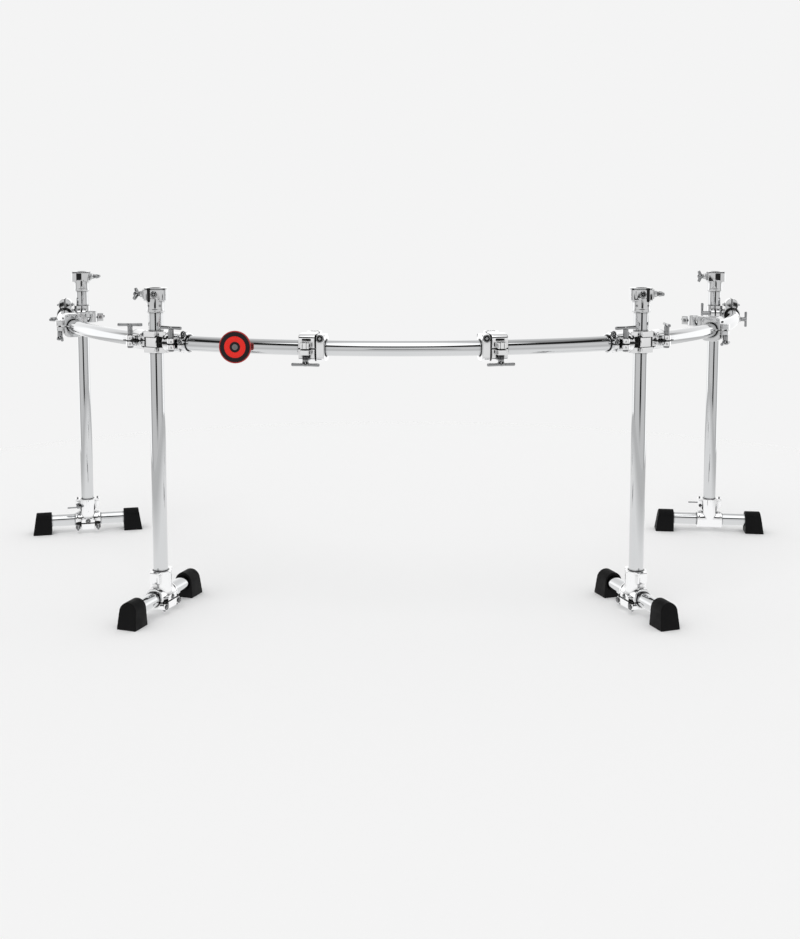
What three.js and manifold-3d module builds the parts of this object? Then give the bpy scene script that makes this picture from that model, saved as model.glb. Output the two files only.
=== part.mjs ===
// Drum rack frame: a curved front bar and two curved wing bars on four legs with T-shaped feet.
// Millimetres, +Z up. X runs along the front bar, +Y runs from the front bar towards the drummer.
import * as THREE from 'three';
import { mergeVertices } from 'three/addons/utils/BufferGeometryUtils.js';
import Module from 'manifold-3d';

const wasm = await Module();
wasm.setup();

// Tube that every bar, leg and foot is cut from
const tubeDiameter = 38.1;
const tubeWall = 1.6;

// Layout of the rack
const barHeight = 705;
const frontLegSpacing = 1234;
const frontBarAngle = THREE.MathUtils.degToRad(27.5);
const wingBarRadius = 1300;
const wingAngle = THREE.MathUtils.degToRad(46.8);
const wingBarLength = 914.4;
const wingEndOverhang = 5;
const legAboveBar = 109.5;
const legBottom = 62.5;

// Fits and walls shared by the castings
const tubeGap = 0.35;
const seatGap = 0.35;
const castWall = 6.5;
const slitWidth = 3;
const cutOverrun = 2;

// Smoothness
const tubeSides = 18;
const tubeBoreSides = 10;
const castSides = 18;
const smallSides = 10;
const boltSides = 8;
const stemSides = 6;
const nutSides = 6;
const plateSides = 32;
const barSteps = 30;
const wingSteps = 22;

// T-bolts that close the clamps: a threaded stem, a barrel that seats on the lug, and a cross handle
const tBolt = {
  stemRadius: 4,
  holeGap: 0.5,
  stemPastNut: 3,
  barrelRadius: 6.8,
  barrelLength: 30,
  handleRadius: 3.4,
  handleLength: 64,
};
const multiBolt = { barrelRadius: 8, barrelLength: 27, handleLength: 70 };
const wingNut = { barrelRadius: 5.5, barrelLength: 14, handleRadius: 3.6, handleLength: 38 };
const footBolt = {
  barrelRadius: 5,
  barrelLength: 20,
  handleRadius: 2.3,
  handleLength: 42,
  handleSlide: 12.5,
  height: 86,
  fromEarEnd: 8,
};

// Lugs that a T-bolt draws together, and the nut under the lower one
const lug = { offset: 36, radius: 11, height: 14 };
const nut = { radius: 7, height: 5 };
const keyScrew = { radius: 4.2, head: 4 };

// Corner clamps at the front legs: a fork on the front bar and a tongue on the wing bar
const corner = {
  stackHeight: 55,
  tongueHeight: 24.4,
  layerGap: 0.4,
  armStart: 37.5,
  prongWidth: 38,
  sleeveLength: 52,
  boltFromEnd: 14,
  faceWidth: 36,
  faceDistance: 30,
};
const tongue = { sleeveLength: 48, prongWidth: 46, boltFromEnd: 24 };
const lock = { length: 14, wall: 5.5, gap: 1.5, keyWidth: 12 };
const lockLug = { reach: 8, height: 12 };
const lockScrew = { radius: 6.5, height: 24, front: 15, depth: 14, head: 2.5 };

// Right-angle clamps at the back legs
const backClamp = {
  offset: 52,
  length: 45,
  neckRadius: 17,
  legRise: 6,
  lobeRadius: 20,
  lobeHeight: 31,
  screwSpread: 12,
  padRadius: 9.5,
  padReach: 30,
  padHeight: -15,
};
const barBolt = { barrelLength: 20, handleLength: 48 };

// How far each T-bolt was turned when it was tightened, in degrees about its own axis
const tightened = {
  corner: 0.48,
  wing: { left: -43, right: 47 },
  backLeg: { left: 90, right: 0 },
  backBar: { left: 0, right: 90 },
  receiver: { front_left: 45, front_right: 90, back_left: 90, back_right: 0 },
};

// Hinged multi clamps on the bars
const multi = {
  length: 41,
  top: 35.5,
  bottom: 32,
  halfDepth: 26.5,
  cornerCut: 10,
  windowWidth: 25,
  windowTop: 22.5,
  wallAtWindow: 2,
  lugWidth: 18,
  lugEnd: 46,
  hingeOffset: 32,
  knuckleRadius: 5.5,
  knuckleWidth: 14,
  pinRadius: 2.6,
  hingeGap: 0.4,
};
const multiLock = { length: 20.5, gap: 2.4, top: 34, bottom: 33, screwRadius: 8, screwHead: 3 };
const accessory = {
  boreRadius: 12.9,
  wall: 6,
  centre: 54,
  bottom: 8,
  neckWidth: 26,
  lugReach: 15,
  lugWidth: 9,
  slit: 2.5,
};
const multiClampX = { left: -217, right: 240 };
const wingClampAt = { left: 530, right: 405 };

// Height receivers on top of the legs
const receiver = {
  collarLength: 35,
  collarWall: 4.8,
  headHeight: 32,
  headBelowTop: 5,
  headHalfWidth: 23.5,
  headHalfDepth: 21.5,
  headCorner: 7,
  socketRadius: 14.5,
  jawThickness: 15,
  jawSlit: 6,
  jawFace: 3,
  jawHinge: 9,
  jawHalfDepth: 13,
  jawInset: 4,
};

// T-shaped feet
const foot = {
  tubeLength: 304.8,
  tubeHeight: 40,
  saddleLength: 78,
  saddleWall: 6.5,
  socketTop: 108.5,
  socketRadius: 27,
  earReach: 37.5,
  earHalfDepth: 12,
  earBottom: 78,
  flangeHeight: 5.5,
  flangeHalfDepth: 15,
  frontLugHalfWidth: 21,
  frontLugFront: 34,
  frontLugBottom: 13,
  frontLugTop: 47,
  frontSlitHeight: 33,
  frontBoltRadius: 5.5,
  frontBoltReach: 3,
  sideLugWidth: 15,
  sideLugFront: 31,
  sideLugBottom: 15,
  sideLugTop: 30,
};
const boot = {
  length: 58,
  topLength: 47,
  bottomWidth: 54,
  archRadius: 24,
  height: 68,
  tubeDepth: 40,
  cornerRadius: 5,
  archSteps: 10,
};
const footBoltX = footBolt.fromEarEnd - foot.earReach;
const footYaw = {
  frontLeft: THREE.MathUtils.degToRad(250.1),
  frontRight: THREE.MathUtils.degToRad(250.1),
  backLeft: THREE.MathUtils.degToRad(14.3),
  backRight: THREE.MathUtils.degToRad(186.9),
};

// Round badge that hangs on the front bar
const badge = {
  x: -388,
  radius: 40,
  thickness: 5,
  rimWidth: 4,
  rimHeight: 1.2,
  standOff: 31,
  turn: THREE.MathUtils.degToRad(12),
  clipWidth: 24,
  clipWall: 3,
  clipOpening: 9,
  stemRadius: 9,
};

// Sizes that follow from the ones above
const tubeRadius = tubeDiameter / 2;
const boreRadius = tubeRadius + tubeGap;
const sleeveRadius = boreRadius + castWall;
const halfSlit = slitWidth / 2;
const halfSpacing = frontLegSpacing / 2;
const barSetback = corner.armStart + seatGap;
const forkEnd = corner.armStart + corner.sleeveLength;
const forkLockEnd = forkEnd + lock.gap + lock.length;
const forkMiddle = (corner.armStart + forkLockEnd) / 2;
const tongueEnd = corner.armStart + tongue.sleeveLength;
const tongueMiddle = (corner.armStart + tongueEnd) / 2;
const frontBarRadius = (
  (halfSpacing - forkMiddle * Math.cos(frontBarAngle)) / Math.sin(frontBarAngle)
);
const frontBarCentreY = (
  frontBarRadius * Math.cos(frontBarAngle) - forkMiddle * Math.sin(frontBarAngle)
);
const backClampAt = barSetback + wingBarLength - wingEndOverhang - backClamp.length / 2;
const legTop = barHeight + legAboveBar;
const legLength = legTop - legBottom;
const receiverBottom = legTop - receiver.collarLength;
const receiverTop = legTop - receiver.headBelowTop + receiver.headHeight;
const toForkLayer = corner.tongueHeight / 2 + corner.layerGap;

const materials = {
  tube: new THREE.MeshStandardMaterial({ color: 0xe4e5e8, roughness: 0.06, metalness: 1 }),
  casting: new THREE.MeshStandardMaterial({ color: 0xdadbde, roughness: 0.14, metalness: 1 }),
  bolt: new THREE.MeshStandardMaterial({ color: 0xd0d1d4, roughness: 0.18, metalness: 1 }),
  rubber: new THREE.MeshStandardMaterial({ color: 0x161617, roughness: 0.75, metalness: 0 }),
  badge: new THREE.MeshStandardMaterial({ color: 0xd62b24, roughness: 0.3, metalness: 0 }),
};

// A closed geometry as a solid that can be joined and cut
function solid(geometry) {
  geometry.deleteAttribute('normal');
  geometry.deleteAttribute('uv');
  const merged = mergeVertices(geometry);
  const mesh = new wasm.Mesh({
    numProp: 3,
    vertProperties: merged.getAttribute('position').array,
    triVerts: Uint32Array.from(merged.getIndex().array),
  });
  return new wasm.Manifold(mesh);
}

// A finished solid as a geometry
function skin(manifold) {
  const mesh = manifold.getMesh();
  const geometry = new THREE.BufferGeometry();
  geometry.setAttribute('position', new THREE.BufferAttribute(mesh.vertProperties.slice(), 3));
  geometry.setIndex(new THREE.BufferAttribute(mesh.triVerts.slice(), 1));
  geometry.computeVertexNormals();
  return geometry;
}

const join = (first, ...others) => others.reduce((whole, piece) => whole.add(piece), first);

const cut = (whole, ...holes) => holes.reduce((rest, hole) => rest.subtract(hole), whole);

// A round bar between two points
function rod(radius, from, to, sides = castSides) {
  const start = new THREE.Vector3(...from);
  const run = new THREE.Vector3(...to).sub(start);
  const geometry = new THREE.CylinderGeometry(radius, radius, run.length(), sides);
  const up = new THREE.Vector3(0, 1, 0);
  const turn = new THREE.Quaternion().setFromUnitVectors(up, run.clone().normalize());
  geometry.applyQuaternion(turn);
  const middle = start.addScaledVector(run, 1 / 2);
  geometry.translate(middle.x, middle.y, middle.z);
  return solid(geometry);
}

// A hole whose flats, not its corners, lie at the stated radius
const bore = (radius, from, to, sides = castSides) => (
  rod(radius / Math.cos(Math.PI / sides), from, to, sides)
);

// Radius of a straight bore of a given length that a bent bar passes through
const bentBoreRadius = (length) => boreRadius + length ** 2 / (8 * frontBarRadius);

// A box given by its lowest and highest value on each axis
function block([x0, x1], [y0, y1], [z0, z1]) {
  const geometry = new THREE.BoxGeometry(x1 - x0, y1 - y0, z1 - z0);
  geometry.translate((x0 + x1) / 2, (y0 + y1) / 2, (z0 + z1) / 2);
  return solid(geometry);
}

// An outline in Y and Z, drawn out along X
function profile(points, x0, x1) {
  const outline = new THREE.Shape(points.map(([y, z]) => new THREE.Vector2(y, z)));
  const geometry = new THREE.ExtrudeGeometry(outline, { depth: x1 - x0, bevelEnabled: false });
  geometry.rotateY(Math.PI / 2);
  geometry.rotateX(Math.PI / 2);
  geometry.translate(x0, 0, 0);
  return solid(geometry);
}

// The same piece for the other side of the rack: its Y turned over
function otherHand(geometry) {
  const mirrored = geometry.clone();
  mirrored.applyMatrix4(new THREE.Matrix4().makeScale(1, -1, 1));
  const index = mirrored.getIndex().array;
  for (let i = 0; i < index.length; i += 3) {
    const second = index[i + 1];
    index[i + 1] = index[i + 2];
    index[i + 2] = second;
  }
  mirrored.computeVertexNormals();
  return mirrored;
}

// A straight tube standing on the origin
function straightTube(length) {
  const inner = tubeRadius - tubeWall;
  const outline = [[inner, 0], [tubeRadius, 0], [tubeRadius, length], [inner, length], [inner, 0]];
  const points = outline.map(([x, y]) => new THREE.Vector2(x, y));
  const geometry = new THREE.LatheGeometry(points, tubeSides);
  geometry.rotateX(Math.PI / 2);
  return skin(solid(geometry));
}

// A level arc: heading is the direction at the start, and the arc turns right by length / radius
class LevelArc extends THREE.Curve {
  constructor(start, heading, radius, length) {
    super();
    Object.assign(this, { start, heading, radius, length });
  }

  headingAt(distance) {
    return this.heading - distance / this.radius;
  }

  at(distance) {
    const from = this.heading;
    const to = this.headingAt(distance);
    const x = this.start.x + this.radius * (Math.sin(from) - Math.sin(to));
    const y = this.start.y + this.radius * (Math.cos(to) - Math.cos(from));
    return new THREE.Vector3(x, y, 0);
  }

  getPoint(share, target = new THREE.Vector3()) {
    return target.copy(this.at(share * this.length));
  }

  getTangent(share, target = new THREE.Vector3()) {
    const heading = this.headingAt(share * this.length);
    return target.set(Math.cos(heading), Math.sin(heading), 0);
  }
}

// A tube bent along an arc, with both ends open
function bentTube(arc, steps) {
  const section = new THREE.Shape();
  section.absarc(0, 0, tubeRadius, 0, 2 * Math.PI);
  const hollow = new THREE.Path();
  hollow.absarc(0, 0, tubeRadius - tubeWall, 0, 2 * Math.PI);
  const ring = new THREE.Shape(section.getSpacedPoints(tubeSides).slice(0, -1));
  ring.holes.push(new THREE.Path(hollow.getSpacedPoints(tubeBoreSides).slice(0, -1)));
  const geometry = new THREE.ExtrudeGeometry(ring, { steps, extrudePath: arc, bevelEnabled: false });
  return skin(solid(geometry));
}

// A T-bolt: stem from its tip to the seat, then the barrel, then the handle across its end
function boltSolid({ tip, seat, handle, turn = 0, size }) {
  const start = new THREE.Vector3(...tip);
  const foot = new THREE.Vector3(...seat);
  const out = foot.clone().sub(start).normalize();
  const head = foot.clone().addScaledVector(out, size.barrelLength);
  const across = new THREE.Vector3(...handle).applyAxisAngle(out, THREE.MathUtils.degToRad(turn));
  const along = across.clone().multiplyScalar(size.handleLength / 2);
  const handleCentre = head.clone()
    .addScaledVector(out, -size.handleRadius)
    .addScaledVector(across, size.handleSlide ?? 0);
  const stemEnd = foot.clone().addScaledVector(out, cutOverrun);
  return join(
    rod(tBolt.stemRadius, start.toArray(), stemEnd.toArray(), stemSides),
    rod(size.barrelRadius, foot.toArray(), head.toArray(), boltSides),
    rod(
      size.handleRadius,
      handleCentre.clone().sub(along).toArray(),
      handleCentre.clone().add(along).toArray(),
      boltSides,
    ),
  );
}

// Lugs in front of a sleeve along X, with the nut under them
function lugPair(boltAt) {
  const x = [boltAt - lug.radius, boltAt + lug.radius];
  const bottom = -lug.height - nut.height;
  return join(
    block(x, [-lug.offset, -tubeRadius], [-lug.height, lug.height]),
    rod(lug.radius, [boltAt, -lug.offset, -lug.height], [boltAt, -lug.offset, lug.height], smallSides),
    rod(nut.radius, [boltAt, -lug.offset, bottom], [boltAt, -lug.offset, 0], nutSides),
  );
}

// The slit and the bolt hole of those lugs
function lugCuts(start, end, boltAt) {
  const front = -lug.offset - lug.radius - cutOverrun;
  const holeTop = lug.height + cutOverrun;
  const holeBottom = -lug.height - nut.height - cutOverrun;
  const holeRadius = tBolt.stemRadius + tBolt.holeGap;
  return [
    block([start - cutOverrun, end + cutOverrun], [front, 0], [-halfSlit, halfSlit]),
    bore(holeRadius, [boltAt, -lug.offset, holeBottom], [boltAt, -lug.offset, holeTop], boltSides),
  ];
}

// The T-bolt of those lugs
function lugBolt(boltAt, turn) {
  return boltSolid({
    tip: [boltAt, -lug.offset, -lug.height - nut.height - tBolt.stemPastNut],
    seat: [boltAt, -lug.offset, lug.height + seatGap],
    handle: [1, 0, 0],
    turn,
    size: tBolt,
  });
}

// A narrow ring that locks a clamp's place on a bar, with its pinch lug and two key screws
function lockRing(middle, length) {
  const outer = boreRadius + lock.wall;
  const start = middle - length / 2;
  const end = middle + length / 2;
  const lugTop = lockLug.height;
  const lugFront = -outer - lockLug.reach;
  const screwY = -outer - lockLug.reach / 2;
  const screwEnd = lugTop + keyScrew.head;
  const through = [start - cutOverrun, end + cutOverrun];
  const ring = join(
    rod(outer, [start, 0, 0], [end, 0, 0]),
    block([start, end], [lugFront, -tubeRadius], [-lugTop, lugTop]),
    rod(keyScrew.radius, [middle, screwY, -screwEnd], [middle, screwY, screwEnd], boltSides),
    rod(
      lockScrew.radius,
      [middle, -lockScrew.front - lockScrew.head, lockScrew.height],
      [middle, lockScrew.depth - lockScrew.front, lockScrew.height],
      smallSides,
    ),
  );
  return cut(
    ring,
    bore(bentBoreRadius(length), [through[0], 0, 0], [through[1], 0, 0]),
    block(through, [lugFront - cutOverrun, -tubeRadius / 2], [-halfSlit, halfSlit]),
  );
}

// Fork of a front corner: two rings on the leg, a sleeve on the front bar, and its lock ring
function cornerFork() {
  const top = corner.stackHeight / 2;
  const boltAt = forkEnd - corner.boltFromEnd;
  const halfProng = corner.prongWidth / 2;
  const halfFace = corner.faceWidth / 2;
  const halfKey = lock.keyWidth / 2;
  const keyTop = boreRadius + lock.wall;
  const layers = [[toForkLayer, top], [-top, -toForkLayer]];
  const rings = layers.map(([low, high]) => join(
    rod(sleeveRadius, [0, 0, low], [0, 0, high]),
    block([0, corner.armStart + castWall], [-halfProng, halfProng], [low, high]),
    block([-halfFace, halfFace], [-corner.faceDistance, 0], [low, high]),
  ));
  const body = join(
    rod(sleeveRadius, [corner.armStart, 0, 0], [forkEnd, 0, 0]),
    ...rings,
    lugPair(boltAt),
    lockRing(forkLockEnd - lock.length / 2, lock.length),
    block([forkEnd - castWall, forkLockEnd], [-halfKey, halfKey], [tubeRadius, keyTop]),
  );
  return cut(
    body,
    bore(boreRadius, [0, 0, -top - cutOverrun], [0, 0, top + cutOverrun]),
    bore(
      bentBoreRadius(forkLockEnd - corner.armStart),
      [corner.armStart - cutOverrun, 0, 0],
      [forkLockEnd + cutOverrun, 0, 0],
    ),
    ...lugCuts(corner.armStart, forkEnd, boltAt),
  );
}

const cornerBolt = () => lugBolt(forkEnd - corner.boltFromEnd, tightened.corner);

// Tongue of a front corner: one ring on the leg, between the fork's two, and a sleeve on the wing bar
function cornerTongue() {
  const half = corner.tongueHeight / 2;
  const boltAt = tongueEnd - tongue.boltFromEnd;
  const halfProng = tongue.prongWidth / 2;
  const halfFace = corner.faceWidth / 2;
  const faceTurn = THREE.MathUtils.radToDeg(frontBarAngle + wingAngle) - 90;
  const face = block([-halfFace, halfFace], [-corner.faceDistance, 0], [-half, half]);
  const body = join(
    rod(sleeveRadius, [0, 0, -half], [0, 0, half]),
    face.rotate([0, 0, faceTurn]),
    block([0, corner.armStart + castWall], [-halfProng, halfProng], [-half, half]),
    rod(sleeveRadius, [corner.armStart, 0, 0], [tongueEnd, 0, 0]),
    lugPair(boltAt),
  );
  return cut(
    body,
    bore(boreRadius, [0, 0, -half - cutOverrun], [0, 0, half + cutOverrun]),
    bore(
      bentBoreRadius(tongue.sleeveLength),
      [corner.armStart, 0, 0],
      [tongueEnd + cutOverrun, 0, 0],
    ),
    ...lugCuts(corner.armStart, tongueEnd, boltAt),
  );
}

const tongueBolt = (side) => lugBolt(tongueEnd - tongue.boltFromEnd, tightened.wing[side]);

// Right-angle clamp of a back leg. The bar runs along X at the origin, the leg stands behind it at +Y.
function rightAngleClamp(side) {
  const half = backClamp.length / 2;
  const legY = backClamp.offset;
  const through = [-half - cutOverrun, half + cutOverrun];
  const low = backClamp.legRise - half;
  const high = backClamp.legRise + half;
  const lobe = backClamp.lobeRadius;
  const lobeTop = backClamp.lobeHeight + lobe;
  const screws = [-1, 1].map((side) => {
    const x = side * backClamp.screwSpread;
    const reach = lobe + keyScrew.head;
    return rod(
      keyScrew.radius,
      [x, -reach, backClamp.lobeHeight],
      [x, reach, backClamp.lobeHeight],
      boltSides,
    );
  });
  const padEnd = [0, -backClamp.padReach, backClamp.padHeight];
  const body = join(
    rod(sleeveRadius, [-half, 0, 0], [half, 0, 0]),
    rod(sleeveRadius, [0, legY, low], [0, legY, high]),
    rod(backClamp.padRadius, padEnd, [0, -boreRadius, backClamp.padHeight], smallSides),
    rod(backClamp.neckRadius, [0, tubeRadius, 0], [0, legY - tubeRadius, 0]),
    rod(lobe, [-half, 0, backClamp.lobeHeight], [half, 0, backClamp.lobeHeight]),
    toLegSide(lugPair(0)),
  );
  const hollowed = cut(
    body,
    bore(bentBoreRadius(backClamp.length), [through[0], 0, 0], [through[1], 0, 0]),
    bore(boreRadius, [0, legY, low - cutOverrun], [0, legY, high + cutOverrun]),
    block(through, [-halfSlit, halfSlit], [0, lobeTop + cutOverrun]),
    ...lugCuts(-half, half, 0).map(toLegSide),
  );
  const secondBolt = boltSolid({
    tip: [0, -sleeveRadius, backClamp.padHeight],
    seat: padEnd,
    handle: [1, 0, 0],
    turn: tightened.backBar[side],
    size: { ...tBolt, ...barBolt },
  });
  return join(hollowed, secondBolt, ...screws);
}

// Turns lugs so that they stand in front of the leg with their bolt pointing away from the bar
function toLegSide(piece) {
  return piece.rotate([0, -90, -90]).translate([0, backClamp.offset, backClamp.legRise]);
}

const rightAngleBolt = (side) => toLegSide(lugBolt(0, tightened.backLeg[side]));

// Outline of a multi clamp's half, from its split face to its far face
function multiOutline(split, far) {
  const side = Math.sign(far);
  const shoulder = far - side * multi.cornerCut;
  const inner = multi.halfDepth - multi.cornerCut;
  return [
    [-multi.halfDepth, split],
    [-multi.halfDepth, shoulder],
    [-inner, far],
    [inner, far],
    [multi.halfDepth, shoulder],
    [multi.halfDepth, split],
  ];
}

// The multi clamp's bore for the bar, its front slot width and its hinge
const multiHalf = multi.length / 2;
const multiBore = () => bore(
  bentBoreRadius(multi.length),
  [-multiHalf - cutOverrun, 0, 0],
  [multiHalf + cutOverrun, 0, 0],
);
const holeRadius = tBolt.stemRadius + tBolt.holeGap;
const halfKnuckle = multi.knuckleWidth / 2;
const knuckleClear = multi.knuckleRadius + multi.hingeGap;
const hingeRod = (radius, from, to, sides = smallSides) => (
  rod(radius, [from, multi.hingeOffset, 0], [to, multi.hingeOffset, 0], sides)
);

// Receiver behind a multi clamp, with its pinch lugs and screw, for an accessory's rod
function accessoryReceiver() {
  const { centre, bottom, lugReach, lugWidth } = accessory;
  const outerRadius = accessory.boreRadius + accessory.wall;
  const halfNeck = accessory.neckWidth / 2;
  const lugBack = centre + outerRadius + lugReach;
  const screwY = lugBack - lugWidth;
  const middle = (bottom + multi.top) / 2;
  const holeEnds = [bottom - cutOverrun, multi.top + cutOverrun];
  const halfGap = accessory.slit / 2;
  const body = join(
    block([-halfNeck, halfNeck], [multi.halfDepth - castWall, centre], [bottom, multi.top]),
    rod(outerRadius, [0, centre, bottom], [0, centre, multi.top]),
    block([-lugWidth, lugWidth], [centre, lugBack], [bottom + cutOverrun, multi.top - cutOverrun]),
  );
  const hollowed = cut(
    body,
    bore(accessory.boreRadius, [0, centre, holeEnds[0]], [0, centre, holeEnds[1]]),
    block([-halfGap, halfGap], [centre, lugBack + cutOverrun], holeEnds),
  );
  const screw = boltSolid({
    tip: [-lugWidth - keyScrew.head, screwY, middle],
    seat: [lugWidth, screwY, middle],
    handle: [0, 0, 1],
    size: { ...tBolt, ...wingNut },
  });
  return join(hollowed, screw);
}

// Upper half of a multi clamp, with its hinge knuckles, pin and accessory receiver
function multiBody() {
  const halfWindow = multi.windowWidth / 2;
  const halfLug = multi.lugWidth / 2;
  const windowBack = -boreRadius - multi.wallAtWindow;
  const slotTop = lug.height + cutOverrun;
  const inset = halfKnuckle + multi.hingeGap;
  const windowed = cut(
    profile(multiOutline(halfSlit, multi.top), -multiHalf, multiHalf),
    block([-halfWindow, halfWindow], [-multi.halfDepth - cutOverrun, windowBack], [0, multi.windowTop]),
  );
  const knuckles = [[-multiHalf, -inset], [inset, multiHalf]].map(([low, high]) => join(
    hingeRod(multi.knuckleRadius, low, high),
    block([low, high], [multi.halfDepth - castWall, multi.hingeOffset], [0, multi.knuckleRadius]),
  ));
  const body = join(
    windowed,
    block([-halfLug, halfLug], [-multi.lugEnd, -boreRadius], [halfSlit, lug.height]),
    ...knuckles,
  );
  const hollowed = cut(
    body,
    multiBore(),
    hingeRod(knuckleClear, -inset, inset),
    block([-holeRadius, holeRadius], [-multi.lugEnd - cutOverrun, -lug.offset], [0, slotTop]),
    bore(holeRadius, [0, -lug.offset, 0], [0, -lug.offset, slotTop], boltSides),
  );
  const pin = hingeRod(multi.pinRadius, -multiHalf, multiHalf, boltSides);
  return join(hollowed, pin, accessoryReceiver());
}

// Lower half of a multi clamp: the jaw that swings on the pin
function multiJaw() {
  const halfLug = multi.lugWidth / 2;
  const holeBottom = -lug.height - cutOverrun;
  const knuckleBack = [multi.halfDepth - castWall, multi.hingeOffset];
  const body = join(
    profile(multiOutline(-halfSlit, -multi.bottom), -multiHalf, multiHalf),
    block([-halfLug, halfLug], [-multi.lugEnd, -boreRadius], [-lug.height, -halfSlit]),
    hingeRod(multi.knuckleRadius, -halfKnuckle, halfKnuckle),
    block([-halfKnuckle, halfKnuckle], knuckleBack, [-multi.knuckleRadius, -halfSlit]),
  );
  return cut(
    body,
    multiBore(),
    bore(
      multi.pinRadius + multi.hingeGap,
      [-multiHalf, multi.hingeOffset, 0],
      [multiHalf, multi.hingeOffset, 0],
      boltSides,
    ),
    bore(holeRadius, [0, -lug.offset, holeBottom], [0, -lug.offset, 0], boltSides),
    hingeRod(knuckleClear, -multiHalf - cutOverrun, -halfKnuckle),
    hingeRod(knuckleClear, halfKnuckle, multiHalf + cutOverrun),
  );
}

// T-bolt of a multi clamp: it hangs from the jaw and its tip lies in the body's open slot
const multiBoltSolid = () => boltSolid({
  tip: [0, -lug.offset, lug.height - cutOverrun],
  seat: [0, -lug.offset, -lug.height - seatGap],
  handle: [1, 0, 0],
  size: { ...tBolt, ...multiBolt },
});

// Lock ring beside a multi clamp: as tall as the clamp, split behind, with a key screw in front
function multiLockRing() {
  const half = multiLock.length / 2;
  const through = [-half - cutOverrun, half + cutOverrun];
  const screwZ = multiLock.top - multiLock.screwRadius - seatGap;
  const ring = join(
    profile(multiOutline(0, multiLock.top), -half, half),
    profile(multiOutline(0, -multiLock.bottom), -half, half),
    rod(
      multiLock.screwRadius,
      [0, -multi.halfDepth - multiLock.screwHead, screwZ],
      [0, -boreRadius, screwZ],
      smallSides,
    ),
  );
  return cut(
    ring,
    bore(bentBoreRadius(multiLock.length), [through[0], 0, 0], [through[1], 0, 0]),
    block(through, [0, multi.halfDepth + cutOverrun], [-halfSlit, halfSlit]),
  );
}

// Multi clamp of a wing bar: both halves in one piece, split only at the front
function wingMultiClamp() {
  const bridgeY = [boreRadius + multi.wallAtWindow, multi.halfDepth];
  return join(
    multiBody(),
    multiJaw(),
    hingeRod(knuckleClear + seatGap, -multiHalf, multiHalf),
    block([-multiHalf, multiHalf], bridgeY, [-halfSlit, halfSlit]),
  );
}

// Receiver on top of a leg. The origin is on the leg's axis at the leg's top.
function receiverBody() {
  const outer = boreRadius + receiver.collarWall;
  const low = -receiver.headBelowTop;
  const high = low + receiver.headHeight;
  const w = receiver.headHalfWidth;
  const d = receiver.headHalfDepth;
  const c = receiver.headCorner;
  const outline = new THREE.Shape([
    [-w, -d], [w - c, -d], [w, c - d], [w, d - c], [w - c, d], [-w, d],
  ].map(([x, y]) => new THREE.Vector2(x, y)));
  const head = new THREE.ExtrudeGeometry(outline, { depth: receiver.headHeight, bevelEnabled: false });
  head.translate(0, 0, low);
  const jawLeft = -w - receiver.jawThickness;
  const jawDepth = [-receiver.jawHalfDepth, receiver.jawHalfDepth];
  const jawLow = low + receiver.jawInset;
  const jawHigh = high - receiver.jawInset;
  const middle = (low + high) / 2;
  const slitLeft = -w - receiver.jawFace;
  const slitX = [slitLeft, slitLeft + receiver.jawSlit];
  const body = join(
    rod(outer, [0, 0, -receiver.collarLength], [0, 0, 0]),
    solid(head),
    block([jawLeft, -w + cutOverrun], jawDepth, [jawLow, jawHigh]),
    rod(keyScrew.radius, [0, -d - keyScrew.head, middle], [0, 0, middle], boltSides),
  );
  return cut(
    body,
    bore(boreRadius, [0, 0, -receiver.collarLength - cutOverrun], [0, 0, seatGap]),
    bore(receiver.socketRadius, [0, 0, 0], [0, 0, high + cutOverrun]),
    block(slitX, [-d - cutOverrun, receiver.jawHinge], [low - cutOverrun, high + cutOverrun]),
    bore(holeRadius, [jawLeft - cutOverrun, 0, middle], [-receiver.socketRadius, 0, middle], boltSides),
  );
}

function receiverBolt(leg) {
  const middle = receiver.headHeight / 2 - receiver.headBelowTop;
  const seat = receiver.headHalfWidth + receiver.jawThickness + seatGap;
  return boltSolid({
    tip: [-receiver.socketRadius - castWall / 2, 0, middle],
    seat: [-seat, 0, middle],
    handle: [0, 0, 1],
    turn: tightened.receiver[leg],
    size: { ...tBolt, ...wingNut },
  });
}

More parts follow.
